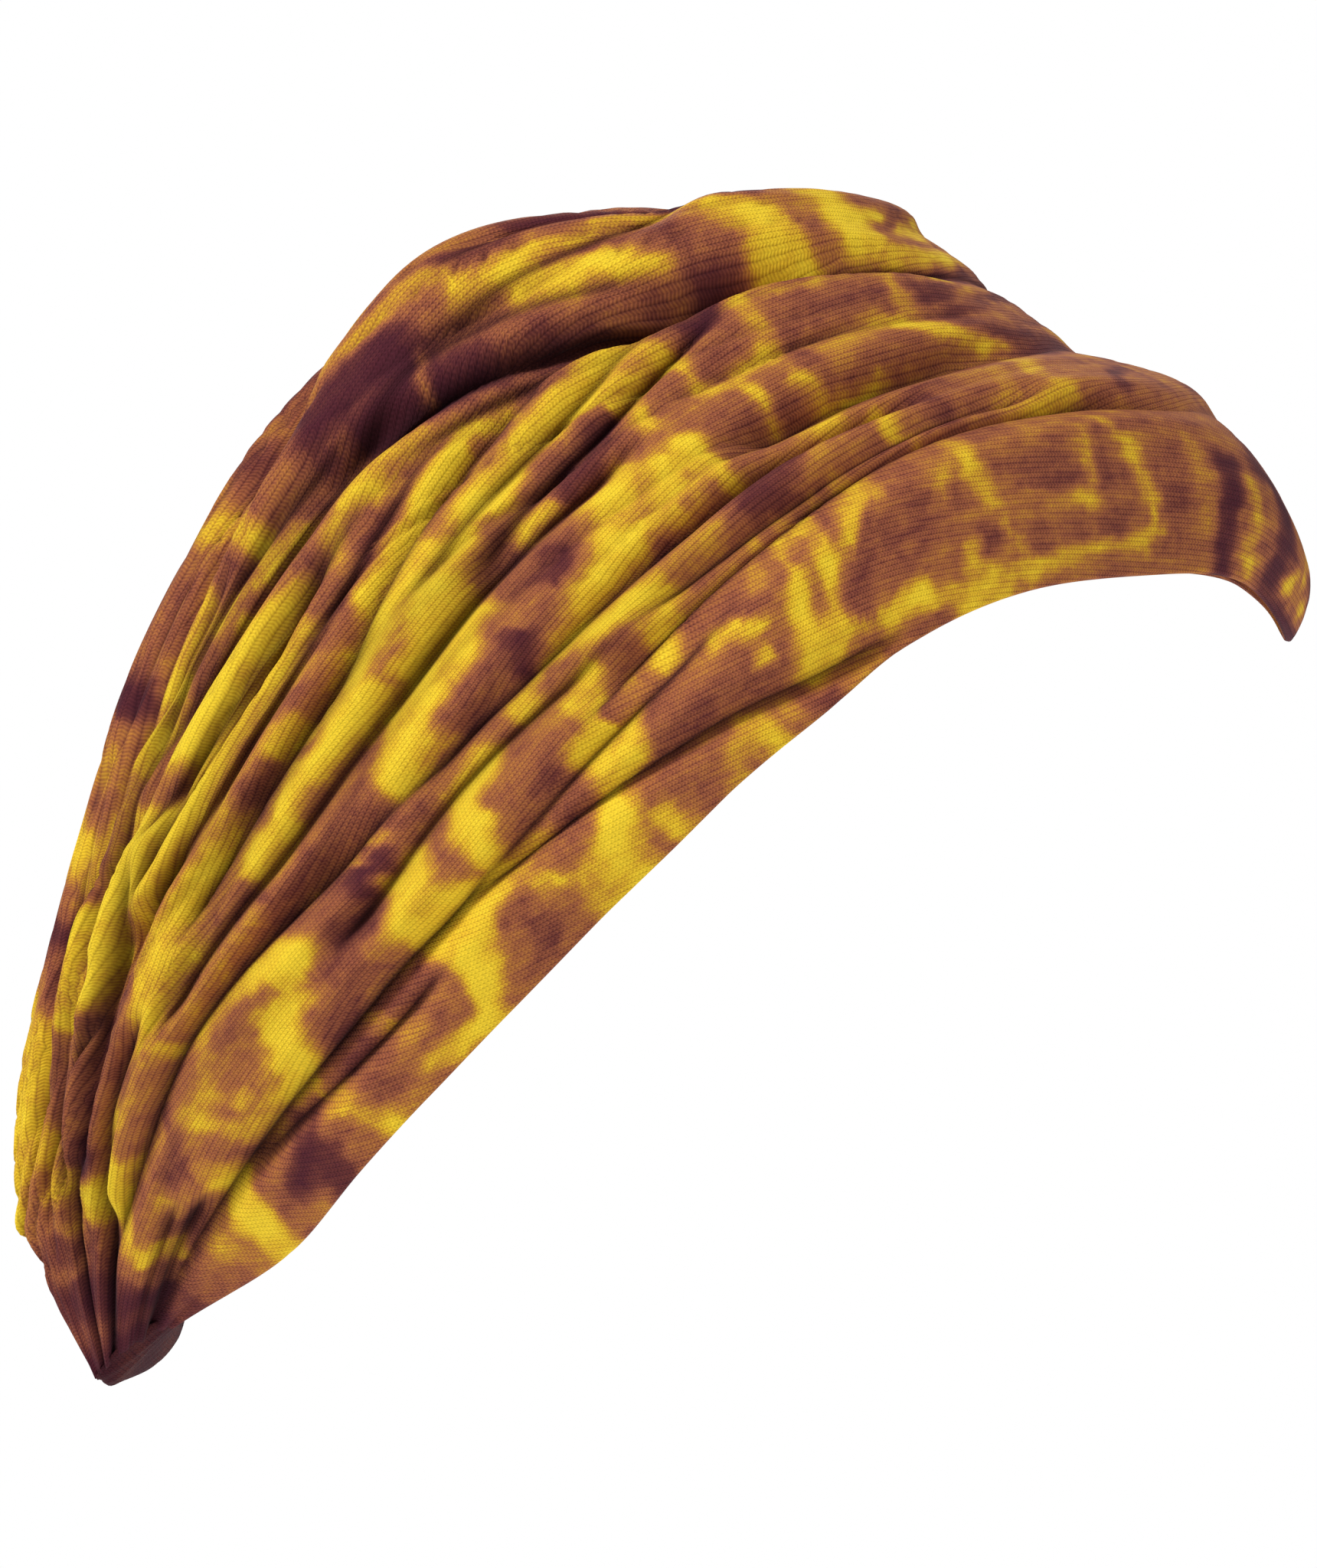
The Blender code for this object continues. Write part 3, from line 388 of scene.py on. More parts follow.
    (4.2, 67, 4.9, 67, 2.2, 6), (4.32, 70, 4.42, 69.5, 1.3, 58), (4.42, 69.5, 4.58, 67.5, 1.1, 45),
    (4.6, 70, 5.1, 69, 2.6, 6), (5.1, 69, 5.6, 67.5, 2.6, 6), (5.6, 67.5, 6.25, 67.5, 1.6, 12),
    (6.25, 68, 6.6, 68.5, 1.8, 36), (6.75, 70.3, 7.42, 67.2, 1.3, 95), (6.55, 69.2, 6.98, 68.4, 1.6, 58),
    (6.98, 68.2, 7.45, 66.3, 1.4, 60), (4.3, 74.5, 4.9, 72, 1.6, 60), (5.45, 70.5, 5.75, 68.5, 1.8, 66),
    (4.98, 73.7, 5.3, 72.8, 1.4, 5), (5.3, 72.8, 5.52, 70.5, 1.1, 6), (5.5, 73.5, 5.9, 70.5, 1.8, 70),
    (5.65, 74.5, 6.05, 71.5, 1.8, 22), (6.05, 70, 6.4, 69.5, 1.8, 28), (4.85, 75.5, 5.25, 76, 2.4, 62),
    (5.2, 77.2, 5.62, 74, 1.1, 15), (4.45, 79, 4.85, 79.5, 3.6, 10), (4.85, 81, 5.3, 81.5, 3, 13),
    (5.33, 79, 5.4, 82, 1.4, 60), (5.6, 77, 5.62, 82, 3, 12), (4, 77.5, 4.25, 80, 2, 42),
    (5.9, 75, 6, 84, 3.6, 65), (6.15, 79, 6.55, 75.5, 4.6, 100), (6.3, 74, 6.8, 71.5, 3.4, 98),
    (6.6, 70, 6.95, 70.5, 1.8, 92), (6.55, 71, 6.62, 74, 1.1, 50), (7, 71.5, 7.1, 73, 2.2, 76),
    (6.85, 75.5, 7.35, 74.5, 2.4, 10), (7.3, 74.8, 7.8, 75.2, 1.3, 80), (6.9, 77.2, 7.5, 76.8, 1.2, 12),
    (7.6, 77.2, 8.1, 77.2, 1.6, 20), (6.45, 81.5, 6.9, 79.5, 1.8, 34), (7, 80, 7.7, 81, 3.4, 84),
    (3, 83.5, 5.6, 85.5, 1.1, 12),
    # crown roll
    (6.75, 74.2, 7.2, 71.8, 2.2, 64), (7.2, 71.2, 7.75, 68.2, 2.8, 66), (6.9, 69.2, 7.4, 68, 1.4, 82),
    (7.2, 73.8, 7.6, 72.2, 2.4, 8), (7.6, 72.2, 7.86, 70.2, 2.2, 10), (8.18, 66.5, 8.05, 70, 4, 72),
    (8.05, 70, 7.88, 73.5, 3.8, 72), (8.05, 68, 7.92, 73.5, 1.8, 84), (8.62, 66.5, 8.55, 72, 4.4, 5),
    (8.52, 72, 8.3, 76, 4, 6), (9, 65.5, 8.98, 69, 3.4, 60), (8.98, 69, 8.8, 74.5, 3.4, 60),
    (9.3, 66, 9.25, 71, 4.6, 6), (9.2, 71, 9.05, 76, 4.6, 8), (9.5, 63, 10.4, 60, 3, 22),
    (9.6, 72, 10.2, 66, 3, 16), (9.7, 68.5, 9.92, 70.5, 2.2, 74), (9.92, 70.5, 10.06, 73.5, 2.4, 70),
    (10.3, 67, 10.6, 70, 3.6, 14), (9.9, 57.5, 11, 56, 1.8, 86), (10.6, 60, 11, 62, 2.2, 40),
    (10.7, 68, 11, 68, 3, 30),
    # top, behind the crown roll, and the open back's edge
    (0.98, 98.5, 1.45, 97, 2.8, 10), (1.45, 90, 2.3, 92, 5, 14), (1.6, 96, 2.6, 97, 3.6, 16),
    (2.75, 88, 3.4, 95, 5, 70), (3.1, 87, 3.2, 98, 1.8, 95), (3.75, 88, 4, 98, 4.6, 20),
    (4.3, 89, 4.5, 98, 3.4, 38), (4.75, 88, 4.8, 98, 4.2, 100), (5.15, 88, 5.4, 98, 4.8, 66),
    (5.6, 88, 5.62, 97, 2.6, 24), (5.85, 87, 6, 97, 3.4, 80), (6.4, 86, 6.8, 92, 4.2, 22),
    (6.4, 96, 7.6, 98, 3, 92), (7, 92, 7.6, 93, 3.6, 20), (7.6, 86, 8.4, 86, 3.8, 74),
    (8.2, 80, 8.5, 79, 2.6, 95), (8.6, 84, 9.4, 86, 3.8, 10), (8, 91, 8.5, 93, 4, 12),
    (8.7, 90, 9.5, 91, 3, 84), (8.8, 95, 9.8, 96, 4.2, 14), (9, 81, 10, 81, 2.2, 55),
    (9.7, 85, 10.4, 86, 4, 12), (9.8, 90, 10.6, 91, 3.2, 78), (7.15, 81.5, 7.42, 82.6, 1.8, 72),
    (7.42, 82.4, 7.9, 82.6, 2.2, 96), (8.2, 80.6, 8.55, 80, 2.6, 96), (10.2, 96, 11, 96, 4.4, 16),
    (10.5, 80, 11, 82, 3.4, 62), (10.7, 87, 11, 88, 3, 20), (9.4, 99, 10.2, 99, 3, 80),
]
STROKE_CORE = 0.36  # share of the half width that the full dye takes
STROKE_CORE_CUT = 0.5  # and how many millimetres less
STROKE_RIM = 1.2  # share of the half width at which a stroke of middling softness has run out
STROKE_BLUR = 1.0  # and how many millimetres more
STREAK_STRETCH = 0.2  # width of the dye's faint streaks as a share of their length
CREASE_SHADE_DYE = 0.12  # painted shade: how much more dye is put in the creases to darken and brown them
WANDER = 0.6  # how far strokes stray, in millimetres
FAR_WANDER = 2.0  # and how much further on the left side
FAR_BLEND = 1.5  # stations from the middle plane to where the left side is fully unlike
FAR_DYE_DRIFT = 0.8  # how far its dye lies from where the right side has it, in stations
FAR_SWAY_ALONG = (6.0, 17.0)  # how far its dye sways in millimetres, and how gently
FAR_SWAY_ACROSS = (5.0, 23.0)

# Colours of the dye, from undyed yellow to the strongest maroon
RAMP_COLUMNS = ("dye", "red", "green", "blue")
DYE_RAMP = [
    (0.00, 0.720, 0.500, 0.026),
    (0.12, 0.630, 0.390, 0.020),
    (0.28, 0.480, 0.235, 0.022),
    (0.45, 0.362, 0.134, 0.032),
    (0.62, 0.262, 0.079, 0.036),
    (0.80, 0.135, 0.033, 0.026),
    (1.00, 0.064, 0.012, 0.020),
]

# Knit, in millimetres
WALE_PITCH = 0.72
COURSE_PITCH = 0.52
RIB_STREAK_LENGTH = 7.0  # how many times longer than wide the streaks in the dye are
RIB_MEAN = 0.5  # height of the knit, from 0 to 1, at which the dye has its stated strength
STRIP_OFFSET = 7.3  # sets off the grain of neighbouring strips, so that it doesn't run on

# Seams between the directions of the knit, a row for each station, in percent of the width. Each line lies
# in a crease, and the cloth's ribs run along the middle of the strip between two lines.
KNIT_COLUMNS = ("station", "line_1", "line_2", "line_3", "line_4", "line_5")
KNIT_LINES = [
    (0, 27, 49, 62, 74, 87),
    (1, 21.2, 44, 62, 80, 87),
    (2, 20.3, 42, 56, 74.5, 85.5),
    (3, 21.2, 42.6, 52.5, 73, 83.2),
    (4, 22.4, 41.2, 54, 71.8, 84.2),
    (5, 25, 38, 55.2, 71, 86.8),
    (6, 23.2, 36.8, 59.8, 69, 85.5),
    (7, 22.3, 38.3, 66, 75.2, 83),
    (8, 22.3, 42, 65.3, 75.2, 81.5),
    (9, 22.8, 42, 62.8, 76, 84),
    (10, 23.6, 41.2, 56, 75, 87),
    (11, 24.5, 41.3, 54.5, 75, 88),
]

# Angle in degrees at which the ribs of the front strip rise towards the front edge
RIB_COLUMNS = ("station", "angle")
RIB_ANGLES = [
    (0, 40), (1.5, 42), (3, 25), (4.5, 22), (5.5, 14), (7, 11), (9, 5), (11, 0),
]

# Form of the knit. Heights and depths are shares of its whole height.
STITCH_SLANT = 0.6  # how far a stitch's sides lie behind its middle, in stitches
GROOVE_DEPTH = 0.58  # the groove between two ribs
GROOVE_SHARPNESS = 3.5
DIP_DEPTH = 0.2  # the dip along the middle of a rib
DIP_SHARPNESS = 5.0
LEG_HEIGHT = 0.80
LOOP_HEIGHT = 0.22

# Grain of the material. The scale is per metre, and for the streak per millimetre across the ribs.
GRAIN_COLUMNS = ("name", "scale", "detail", "roughness", "strength")
GRAINS = {
    "blotch": (150.0, 3.0, 0.55, 0.40),
    "fleck": (620.0, 3.0, 0.65, 0.34),
    "streak": (1.3, 2.0, 0.50, 0.34),
    "speck": (2200.0, 2.0, 0.60, 0.45),
    "yarn": (5000.0, 2.0, 0.70, 0.50),
    "nap": (420.0, 2.0, 0.50, 0.12),
}
RIB_DYE = 0.24  # how much more dye the grooves hold
MIDDLING_MOTTLE = 3.0
LEAST_MOTTLE = 0.22
RIB_TONE = 0.46  # painted shade of the knit: how much lighter the loops are painted than the shaded grooves
# painted tone of the knit's shaded grooves
GROOVE_TONE = 0.69
HOLLOW_SHADE = 0.70  # how much darker the painted shade makes the bottom of a crease
BUMP_STRENGTH = 0.55
BUMP_DISTANCE = 0.00022
ROUGHNESS = 0.86
SPECULAR = 0.08
SHEEN = 0.02

# Lights: place in metres from the middle of the band, size of the soft box and power in watts
LIGHT_COLUMNS = ("name", "x", "y", "z", "size", "power")
LIGHTS = [
    ("soft_box_above", -0.9, 0.75, 1.4, 0.45, 26.0),
    ("soft_box_front", -1.3, -1.5, 0.5, 0.8, 4.5),
    ("soft_box_back", -0.6, 1.8, 0.5, 0.8, 6.0),
    ("soft_box_far", 1.5, 0.3, 1.0, 0.8, 16.0),
    ("soft_box_brow", 0.7, -1.9, 0.6, 0.8, 7.0),
]

# Surround and floor
SURROUND_GLOW = 0.40  # light from the surround
SURROUND_SEEN = 1.0  # how bright the same surround looks behind the band
FLOOR_COLOUR = (0.93, 0.93, 0.92)
FLOOR_GLOW = 0.12
FLOOR_LEVEL = -0.36
FLOOR_RADIUS = 2.4
FLOOR_SIDES = 96

# Camera, level with the band's middle, on the wearer's right
CAMERA_DISTANCE = 2.5
CAMERA_AIM = (0.0, 0.00968, -0.0731)
VIEW_HALF_HEIGHT = 0.1101
SENSOR = 36.0

MIDDLE = len(SECTIONS) - 1
STATION_COUNT = 2 * MIDDLE


def spline(knots, values, at):
    """Smooth curve through a row of values at each knot."""
    knots = np.asarray(knots, float)
    values = np.asarray(values, float)
    at = np.asarray(at, float)
    step = np.diff(knots)
    rise = np.diff(values, axis=0) / step[:, None]
    slope = np.empty_like(values)
    slope[1:-1] = (rise[:-1] * step[1:, None] + rise[1:] * step[:-1, None]) / (step[1:] + step[:-1])[:, None]
    slope[0] = 1.5 * rise[0] - 0.5 * slope[1]
    slope[-1] = 1.5 * rise[-1] - 0.5 * slope[-2]
    left = np.clip(np.searchsorted(knots, at, side="right") - 1, 0, len(knots) - 2)
    u = ((at - knots[left]) / step[left])[:, None]
    span = step[left][:, None]
    start = (2 * u ** 3 - 3 * u ** 2 + 1) * values[left] + (u ** 3 - 2 * u ** 2 + u) * span * slope[left]
    end = (3 * u ** 2 - 2 * u ** 3) * values[left + 1] + (u ** 3 - u ** 2) * span * slope[left + 1]
    return start + end


def smooth_step(value, low, high):
    """0 below low, 1 above high, smooth between."""
    u = np.clip((value - low) / (high - low), 0, 1)
    return u * u * (3 - 2 * u)


def near_station(stations):
    """Station counted from the nearer end of the band."""
    return np.minimum(stations, STATION_COUNT - stations)


def waves(name, places):
    """One of the soft noises over places in millimetres, between about -1 and 1 times its strength."""
    seed, shortest, longest, count, strength = WAVES[name]
    random = np.random.default_rng(seed)
    total = np.zeros(places.shape[:-1])
    for _ in range(count):
        direction = random.normal(size=places.shape[-1])
        direction /= np.linalg.norm(direction)
        length = random.uniform(shortest, longest)
        phase = random.uniform(0, 2 * math.pi)
        total += np.sin(2 * math.pi * (places @ direction) / length + phase)
    return strength * (total / math.sqrt(count))


def lengths(points, axis):
    """Length along a grid of points, from its first row or column to each of them."""
    steps = np.linalg.norm(np.diff(points, axis=axis), axis=2)
    start = np.zeros_like(np.take(steps, [0], axis=axis))
    return np.concatenate([start, np.cumsum(steps, axis=axis)], axis=axis)


def grid_normals(points):
    """Unit normals of a grid of points, facing away from the head."""
    normal = np.cross(np.gradient(points, axis=0), np.gradient(points, axis=1))
    return normal / np.linalg.norm(normal, axis=2, keepdims=True)


def guide_lines(stations):
    """The guides' places at each station, in millimetres."""
    half_width = np.array([guide[2] for guide in GUIDES])
    nape_width = np.array([guide[3] for guide in GUIDES])
    opening = np.array([row[0] for row in SPREADS])[:, None]
    width_left = np.array([row[1] for row in SPREADS])[:, None]
    x = -(nape_width + (half_width - nape_width) * opening) * width_left
    yz = np.array(SECTIONS).reshape(len(SECTIONS), len(GUIDES), 2)
    right = np.dstack([x, yz])
    left = right[-2::-1] * np.array([-1.0, 1.0, 1.0])
    points = np.concatenate([right, left])
    lines = spline(np.arange(float(len(points))), points.reshape(len(points), -1), stations)
    return lines.reshape(len(stations), len(GUIDES), 3)


def base_surface(lines, stations, across):
    """Points of the smooth form under the folds. across has a row of places for each station."""
    guide_across = [guide[1] for guide in GUIDES]
    shift = FAR_EDGE_SHIFT * np.clip((stations - MIDDLE) / FAR_EDGE_BLEND, 0, 1)
    points = np.empty(across.shape + (3,))
    for row, places in enumerate(shift[:, None] + (1 - 2 * shift[:, None]) * across):
        points[row] = spline(guide_across, lines[row], places)
    return points


def crease_lines(stations, section_length):
    """Each crease's place, depth, reach and lean at every station."""
    near = near_station(stations)
    left = np.where(stations > MIDDLE, np.clip((MIDDLE - near) / LEFT_BLEND, 0, 1), 0)
    fade_from, fade_to = MIDDLE_FADE_ENDS
    middle_share = 1 - MIDDLE_FADE * smooth_step(near, MIDDLE - fade_from, MIDDLE - fade_to)
    found = []
    for index, row in enumerate(CREASES):
        _, first, last, *places, depth, reach, lean = row
        knots = np.linspace(first, last, len(places))
        centre = spline(knots, np.array(places)[:, None] / 100, np.clip(near, first, last))[:, 0]
        centre = centre + left * LEFT_STRAY * np.sin(1.9 * index + 0.8 * near)
        fade = CREASE_FADE * min(1.0, (last - first) / 2)
        start, end = np.ones_like(near), np.ones_like(near)
        if first > GATHERED:
            start = smooth_step(near, first - CREASE_LEAD, first + fade)
        if last < MIDDLE:
            end = 1 - smooth_step(near, last - fade, last + CREASE_LEAD)
        strength = depth * start * end * (1 + left * LEFT_CHANGE * np.sin(2.3 * index + 1))
        strength = strength * np.clip(section_length / FULL_DEPTH_WIDTH, LEAST_SHARE, 1) * middle_share
        reach_here = reach * np.clip(section_length / FULL_REACH_WIDTH, LEAST_SHARE, 1)
        found.append((centre, strength, reach_here, lean))
    return found


def spaced_across(creases, section_length, steps):
    """Places across the band for each station, closer together at creases and at the two edges."""
    fine = np.linspace(0, 1, SPACING_SAMPLES)
    across = np.empty((len(section_length), steps + 1))
    for row, length in enumerate(section_length):
        density = np.ones_like(fine)
        for centre, strength, _, _ in creases:
            near = (fine - centre[row]) * length / CROWDING_REACH
            density += CREASE_CROWDING * min(strength[row], CROWDING_DEPTH) * np.exp(-near ** 2)
        for edge in (0.0, 1.0):
            density += EDGE_CROWDING * np.exp(-((fine - edge) * length / EDGE_RADIUS) ** 2)
        total = np.concatenate([[0], np.cumsum(0.5 * (density[1:] + density[:-1]))])
        across[row] = np.interp(np.linspace(0, total[-1], steps + 1), total, fine)
    padded = np.pad(across, ((SPACING_BLUR, SPACING_BLUR), (0, 0)), mode="edge")
    weights = np.hanning(2 * SPACING_BLUR + 3)[1:-1]
    rows = len(across)
    return sum(w * padded[k:k + rows] for k, w in enumerate(weights / weights.sum()))


def cloth_places(stations, across, section_length):
    """Distance in millimetres along the band and over it from its middle line, for each point."""
    along = np.broadcast_to(stations[:, None] * STATION_LENGTH, across.shape)
    return along, (across - 0.5) * section_length[:, None]


def fine_creases(stations, across, section_length):
    """Depth of the small creases as a share of FINE_DEPTH. It can pass 1 where slender strands join them."""
    near = near_station(stations)[:, None]
    along, over = cloth_places(stations, across, section_length)
    places = np.stack([FINE_STRETCH * along, over + FINE_SWAY * np.sin(along / FINE_SWAY_LENGTH)], axis=-1)
    small = np.exp(-(waves("small_creases", places) / FINE_WIDTH) ** 2)
    flank = smooth_step(across, *FLANK_ACROSS) * (1 - smooth_step(near, *FLANK_STATIONS))
    slender = np.exp(-(waves("slender_strands", places) / SLENDER_WIDTH) ** 2)
    nape = smooth_step(across, *NAPE_ACROSS) * (1 - smooth_step(near, *NAPE_STATIONS))
    depth = small * (FINE_LEAST + (1 - FINE_LEAST) * flank) + SLENDER_SHARE * slender * nape
    return depth * smooth_step(near, *FINE_START)


def gathers(stations, across):
    """Height of the uneven pleats in the gathered ends, in millimetres."""
    share = 1 - smooth_step(near_station(stations), *GATHER_ENDS)
    uneven = across + 0.035 * np.sin(11 * across + 1.0) + 0.016 * np.sin(27 * across + 2.5)
    pleats = np.abs(np.sin(math.pi * GATHER_PLEATS * uneven)) ** PLEAT_ROUNDNESS
    size = 0.7 + 0.3 * np.sin(23 * across + 0.5)
    return GATHER_HEIGHT * share[:, None] * (pleats * size - 0.4)


def fold_shape(stations, across, creases, section_length):
    """Height over the smooth form and slip across it, both in millimetres, and the painted shade of the
    creases from 0 to 1.
    """
    height = np.zeros_like(across)
    slip = np.zeros_like(across)
    painted_shade = np.zeros_like(across)
    for centre, strength, reach, lean in creases:
        distance = (across - centre[:, None]) * section_length[:, None]
        reach = reach[:, None]
        depth = strength[:, None]
        nearness = np.exp(-np.sqrt(distance ** 2 + CREASE_ROUNDING) / reach)
        side = np.tanh(distance / (LEAN_REACH * reach))
        height += depth * nearness * (LEAN_HEIGHT * lean * side - 1)
        far = (distance / (ROLL_REACH * reach)) ** 2
        height -= ROLL_HEIGHT * depth * (1 - 2 * far) * np.exp(-far)
        lifted = distance * np.sign(lean)
        lip = smooth_step(lifted, *LIP_RISE) * np.exp(-(np.maximum(lifted, 0) / (LIP_REACH * reach)) ** 2)
        slip -= lean * OVERHANG * depth * lip
        painted_shade += HOLLOW_SHARE * depth * np.exp(-(distance / HOLLOW_REACH) ** 2)
    fine = fine_creases(stations, across, section_length)
    height -= FINE_DEPTH * fine
    painted_shade += FINE_HOLLOW * fine
    return height + gathers(stations, across), slip, np.clip(painted_shade, 0, 1)


def nape_corner(stations, across, section_length):
    """How far the back edge stands out at its corner above the nape, and in below it, in millimetres."""
    near = near_station(stations)
    out = np.exp(-((near - CORNER_STATION) / CORNER_REACH) ** 2)
    notch = np.exp(-((near - CORNER_STATION + 2 * CORNER_REACH) / CORNER_REACH) ** 2)
    at_edge = np.exp(-((1 - across) * section_length[:, None] / CORNER_FADE) ** 2)
    return CORNER_SIZE * (out - NOTCH_SHARE * notch)[:, None] * at_edge


def dye_places(stations, across, points, section_length, station_length):
    """Station and place across at which each point of the cloth takes its dye, both a little astray.

    The left side's strokes drift and sway, so that it doesn't mirror the right side."""
    near = np.broadcast_to(near_station(stations)[:, None], across.shape)
    far = np.clip((stations - MIDDLE) / FAR_BLEND, 0, 1)[:, None]
    along, over = cloth_places(stations, across, section_length)
    stray = WANDER + FAR_WANDER * far
    sway_along, gentle_along = FAR_SWAY_ALONG
    sway_across, gentle_across = FAR_SWAY_ACROSS
    astray = waves("dye_wander_along", points) * stray + waves("dye_fray_along", points)
    drift = FAR_DYE_DRIFT * far * np.sin(math.pi * near / MIDDLE)
    u = near + drift + (astray + sway_along * far * np.sin(over / gentle_along)) / station_length
    astray = waves("dye_wander_across", points) * stray + waves("dye_fray_across", points)
    v = across + (astray + sway_across * far * np.sin(along / gentle_across)) / section_length[:, None]
    return u, v


def paint_dye(stations, across, points, section_length, inside):
    """Strength of the dye at each place of the cloth. The inside has its strokes the other way round."""
    station_length = np.linalg.norm(np.gradient(points, axis=0), axis=2) * STEPS_ALONG / STATION_COUNT
    u, v = dye_places(stations, across, points, section_length, station_length)
    if inside:
        v = 1 - v
    dye = GROUND + waves("dye_ground", points)
    softness = waves("dye_softness", points)
    length = section_length[:, None]
    for first, first_across, last, last_across, half_width, value in np.array(STROKES) / STROKE_UNITS:
        run_u = (last - first) * station_length
        run_v = (last_across - first_across) * length
        to_u = (u - first) * station_length
        to_v = (v - first_across) * length
        share = np.clip((to_u * run_u + to_v * run_v) / (run_u ** 2 + run_v ** 2 + 1e-6), 0, 1)
        distance = np.hypot(to_u - share * run_u, to_v - share * run_v)
        core = STROKE_CORE * half_width - STROKE_CORE_CUT
        rim = (STROKE_RIM + softness) * half_width + STROKE_BLUR
        dye += (value - dye) * (1 - smooth_step(distance, core, rim))
    dye += (1.0 - dye) * waves("dye_clouds", points)
    along, over = cloth_places(stations, across, section_length)
    streaks = waves("dye_streaks", np.stack([STREAK_STRETCH * along, over], axis=-1))
    return np.clip(dye + streaks, 0, 1)


def knit_places(points, stations, across):
    """Places in millimetres, along the cloth's ribs and over them, for each corner of the grid's faces."""
    near = near_station(stations)
    station, *lines = np.array(KNIT_LINES).T
    seams = np.stack([np.interp(near, station, line / 100) for line in lines], axis=1)
    seams = np.pad(seams, ((0, 0), (1, 1)), constant_values=(0, 1))
    middles = 0.5 * (seams[:, :-1] + seams[:, 1:])
    over = lengths(points, 1)
    over_middles = np.array([np.interp(*row) for row in zip(middles, across, over)])
    along = lengths(points[:, ::LINES_SKIPPED], 0).mean(axis=1)

    middle_of_face = 0.25 * (across[:-1, :-1] + across[1:, :-1] + across[:-1, 1:] + across[1:, 1:])
    seams_of_face = 0.5 * (seams[:-1] + seams[1:])
    strip = np.zeros(middle_of_face.shape, int)
    for k in range(1, seams.shape[1] - 1):
        strip += middle_of_face > seams_of_face[:, k:k + 1]

    angle = np.radians(np.interp(near, *np.array(RIB_ANGLES).T))
    mirrored = np.where(stations > MIDDLE, -1.0, 1.0)
    drift = np.cumsum(mirrored * np.sin(angle)) * along[-1] / len(along)
    advance = np.cumsum(np.cos(angle)) * along[-1] / len(along)

    places = np.empty(middle_of_face.shape + (4, 2))
    rows, columns = np.indices(middle_of_face.shape)
    for corner, (i, j) in enumerate(((0, 0), (1, 0), (1, 1), (0, 1))):
        row = rows + i
        from_edge = over[row, columns + j]
        aside = from_edge - over_middles[row, strip] + STRIP_OFFSET * strip
        turn = angle[row]
        along_turned = advance[row] - mirrored[row] * np.sin(turn) * from_edge
        over_turned = np.cos(turn) * from_edge + drift[row]
        places[..., corner, 0] = np.where(strip == 0, along_turned, along[row])
        places[..., corner, 1] = np.where(strip == 0, over_turned, aside)
    return places


def tube_faces(rows, columns):
    """Faces of a closed tube whose rows run round it, with a cap at each end."""
    i, j = np.meshgrid(np.arange(rows - 1), np.arange(columns), indexing="ij")
    here = (i * columns + j).ravel()
    beside = (i * columns + (j + 1) % columns).ravel()
    quads = np.stack([here, here + columns, beside + columns, beside], axis=1).tolist()
    last = (rows - 1) * columns
    return quads, [list(range(columns)), list(range(last + columns - 1, last - 1, -1))]


def add_object(name, data):
    """A new object in the scene."""
    thing = bpy.data.objects.new(name, data)
    bpy.context.scene.collection.objects.link(thing)
    return thing


def add_tube(name, layers, values):
    """A closed, smooth-shaded tube of cloth from an outer and an inner layer.

    Each layer is a grid of points and the knit places of its faces' corners, both running from the front
    edge to the back edge. The inner layer is turned round, so that the two make one ring. values holds a
    pair of grids for each of the material's attributes."""
    (outer, outer_places), (inner, inner_places) = layers
    points = np.concatenate([outer, inner[:, ::-1]], axis=1)
    quads, caps = tube_faces(len(outer), points.shape[1])
    mesh = bpy.data.meshes.new(name)
    mesh.from_pydata((points.reshape(-1, 3) * MM).tolist(), [], quads + caps)
    mesh.polygons.foreach_set("use_smooth", np.ones(len(mesh.polygons), bool))

    turned = inner_places[:, ::-1][:, :, [3, 2, 1, 0]]
    places = np.concatenate([outer_places, outer_places[:, -1:], turned, turned[:, -1:]], axis=1)
    every = np.zeros((len(mesh.loops), 2))
    every[:4 * len(quads)] = places.reshape(-1, 2)
    layer = mesh.uv_layers.new(name="knit")
    layer.data.foreach_set("uv", every.ravel())
    for attribute, (outer_values, inner_values) in values.items():
        kept = mesh.attributes.new(attribute, "FLOAT", "POINT")
        kept.data.foreach_set("value", np.concatenate([outer_values, inner_values[:, ::-1]], axis=1).ravel())
    mesh.validate()
    return add_object(name, mesh)


def cloth_layer(form, steps, inside):
    """One face of the band: its points in millimetres, its knit places, its dye with painted crease shade
    added, and the painted shade of its creases.

    inside is true for the face that rests on the head, which is laid without overhanging lips."""
    stations, lines, section_length, creases = form
    across = spaced_across(creases, section_length, steps)
    points = base_surface(lines, stations, across)
    height, slip, painted_shade = fold_shape(stations, across, creases, section_length)
    over = np.gradient(points, axis=1)
    over /= np.linalg.norm(over, axis=2, keepdims=True)
    from_edge = np.minimum(across, 1 - across) * section_length[:, None]
    share = np.clip(1 - from_edge / EDGE_RADIUS, 0, 1)
    fullness = np.maximum(np.sqrt(1 - share ** 2), EDGE_FULLNESS)
    side = -1 if inside else 1
    level = height + 0.5 * WALL * (side * fullness - 1)
    face = points + grid_normals(points) * level[..., None]
    wave = waves("edge_wave", points) * np.exp(-(from_edge / EDGE_WAVE_REACH) ** 2)
    face += over * (wave + nape_corner(stations, across, section_length))[..., None]
    if not inside:
        face += over * slip[..., None]
    places = knit_places(points, stations, across)
    dye = paint_dye(stations, across, points, section_length, inside)
    # painted crease shade is added to the dye
    return face, places, dye + CREASE_SHADE_DYE * painted_shade, painted_shade


